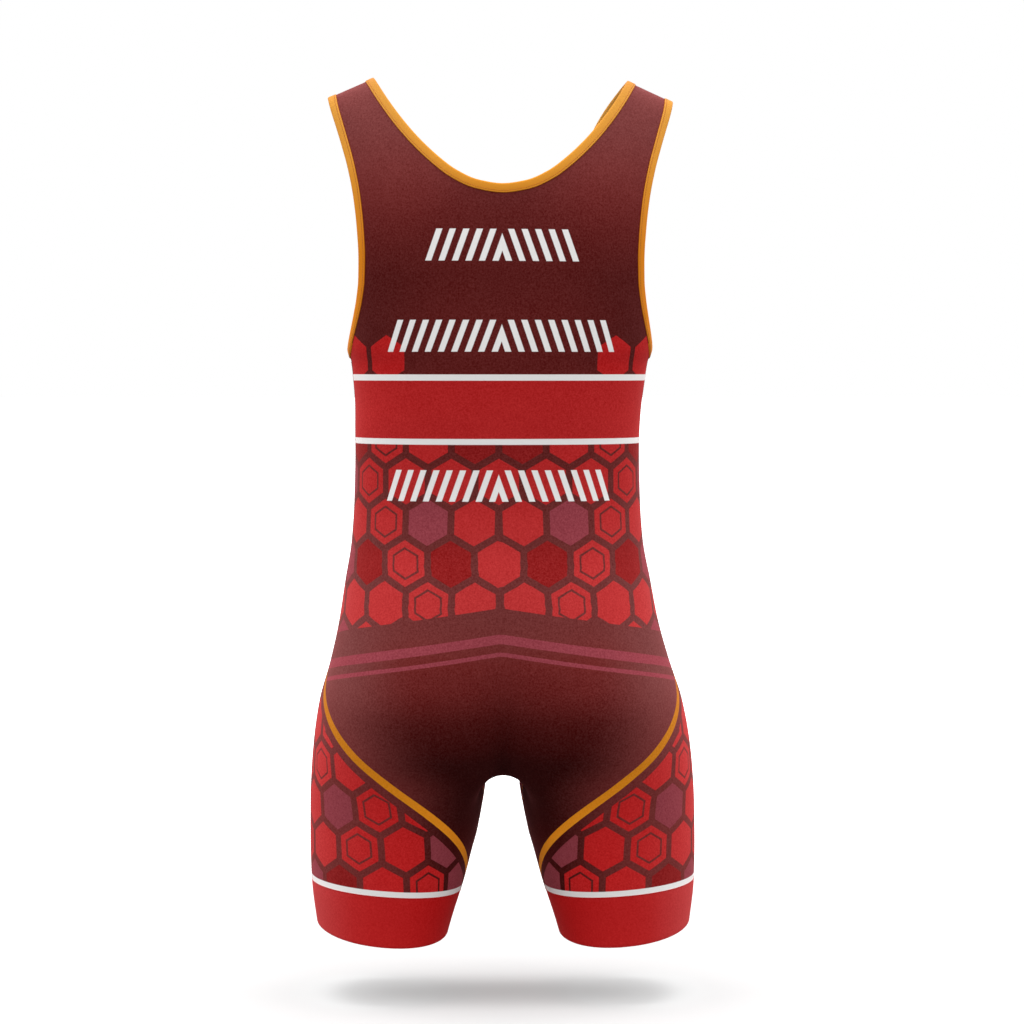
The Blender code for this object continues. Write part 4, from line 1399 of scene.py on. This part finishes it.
def cloths():
    """The cloth of the body, of the leg bands and of the bindings."""
    knit = cloth_group()
    printed = print_group(honeycomb_group())
    body = finish_cloth("printed_body_cloth", knit,
                        lambda tree, flat: printed_colour(tree, flat, printed),
                        loop_width=KNIT_LOOP, speckle=1.2, relief=0.05 * MM, roughness=0.85,
                        sheen=0.16)
    band = finish_cloth("red_leg_band_cloth", knit, band_colour, loop_width=KNIT_LOOP,
                        speckle=0.8, relief=0.05 * MM, roughness=0.85, sheen=0.16)
    binding = finish_cloth("gold_binding_cloth", knit, binding_colour, loop_width=0.6 * MM,
                           speckle=0.2, relief=0.04 * MM, roughness=0.8, sheen=0.2)
    return body, band, binding


def main():
    body_cloth, band_cloth, binding_cloth = cloths()
    back = cloth_panel("back", body_cloth)
    front = cloth_panel("front", body_cloth)
    trims, trim_lines = bindings(binding_cloth)
    bands, band_lines = leg_bands(band_cloth)

    tree = sewn_line_tree()
    seam_thread = thread_material("maroon_thread", SEAM_THREAD)
    gold_thread = thread_material("gold_thread", GOLD_THREAD)
    red_thread = thread_material("red_thread", RED)
    zigzag = {"Pitch": 1.5 * MM, "Stitch Length": 5.0 * MM, "Thread Radius": 0.22 * MM,
              "Slant": 1.25, "Lift": 0.05 * MM, "Thread": seam_thread}
    edge_row = {"Pitch": 2.4 * MM, "Stitch Length": 2.3 * MM, "Thread Radius": 0.24 * MM,
                "Lift": 0.05 * MM, "Thread": seam_thread}
    flatlock = [zigzag, {**edge_row, "Across": 2.3 * MM}, {**edge_row, "Across": -2.3 * MM}]
    seams = stitch_rows("seam_stitches", tree, seam_lines(), flatlock)
    needle_row = {"Pitch": 2.6 * MM, "Stitch Length": 2.1 * MM, "Thread Radius": 0.22 * MM,
                  "Lift": 0.08 * MM}
    trim_stitches = stitch_rows("binding_stitches", tree,
                                [sewing_line(line) for line in trim_lines],
                                [{**needle_row, "Thread": gold_thread}])
    band_stitches = stitch_rows("leg_band_stitches", tree,
                                [sewing_line(line) for line in band_lines],
                                [{**needle_row, "Thread": red_thread}])

    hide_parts("back_panel")
    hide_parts("front_panel")
    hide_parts("neck_binding")
    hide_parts("armhole_binding_left")
    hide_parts("armhole_binding_right")
    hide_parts("leg_band_left")
    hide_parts("leg_band_right")
    for piece in (back, front, seams, *trims.values(), trim_stitches, *bands.values(),
                  band_stitches):
        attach(piece, "root")
    camera()
    studio()


main()
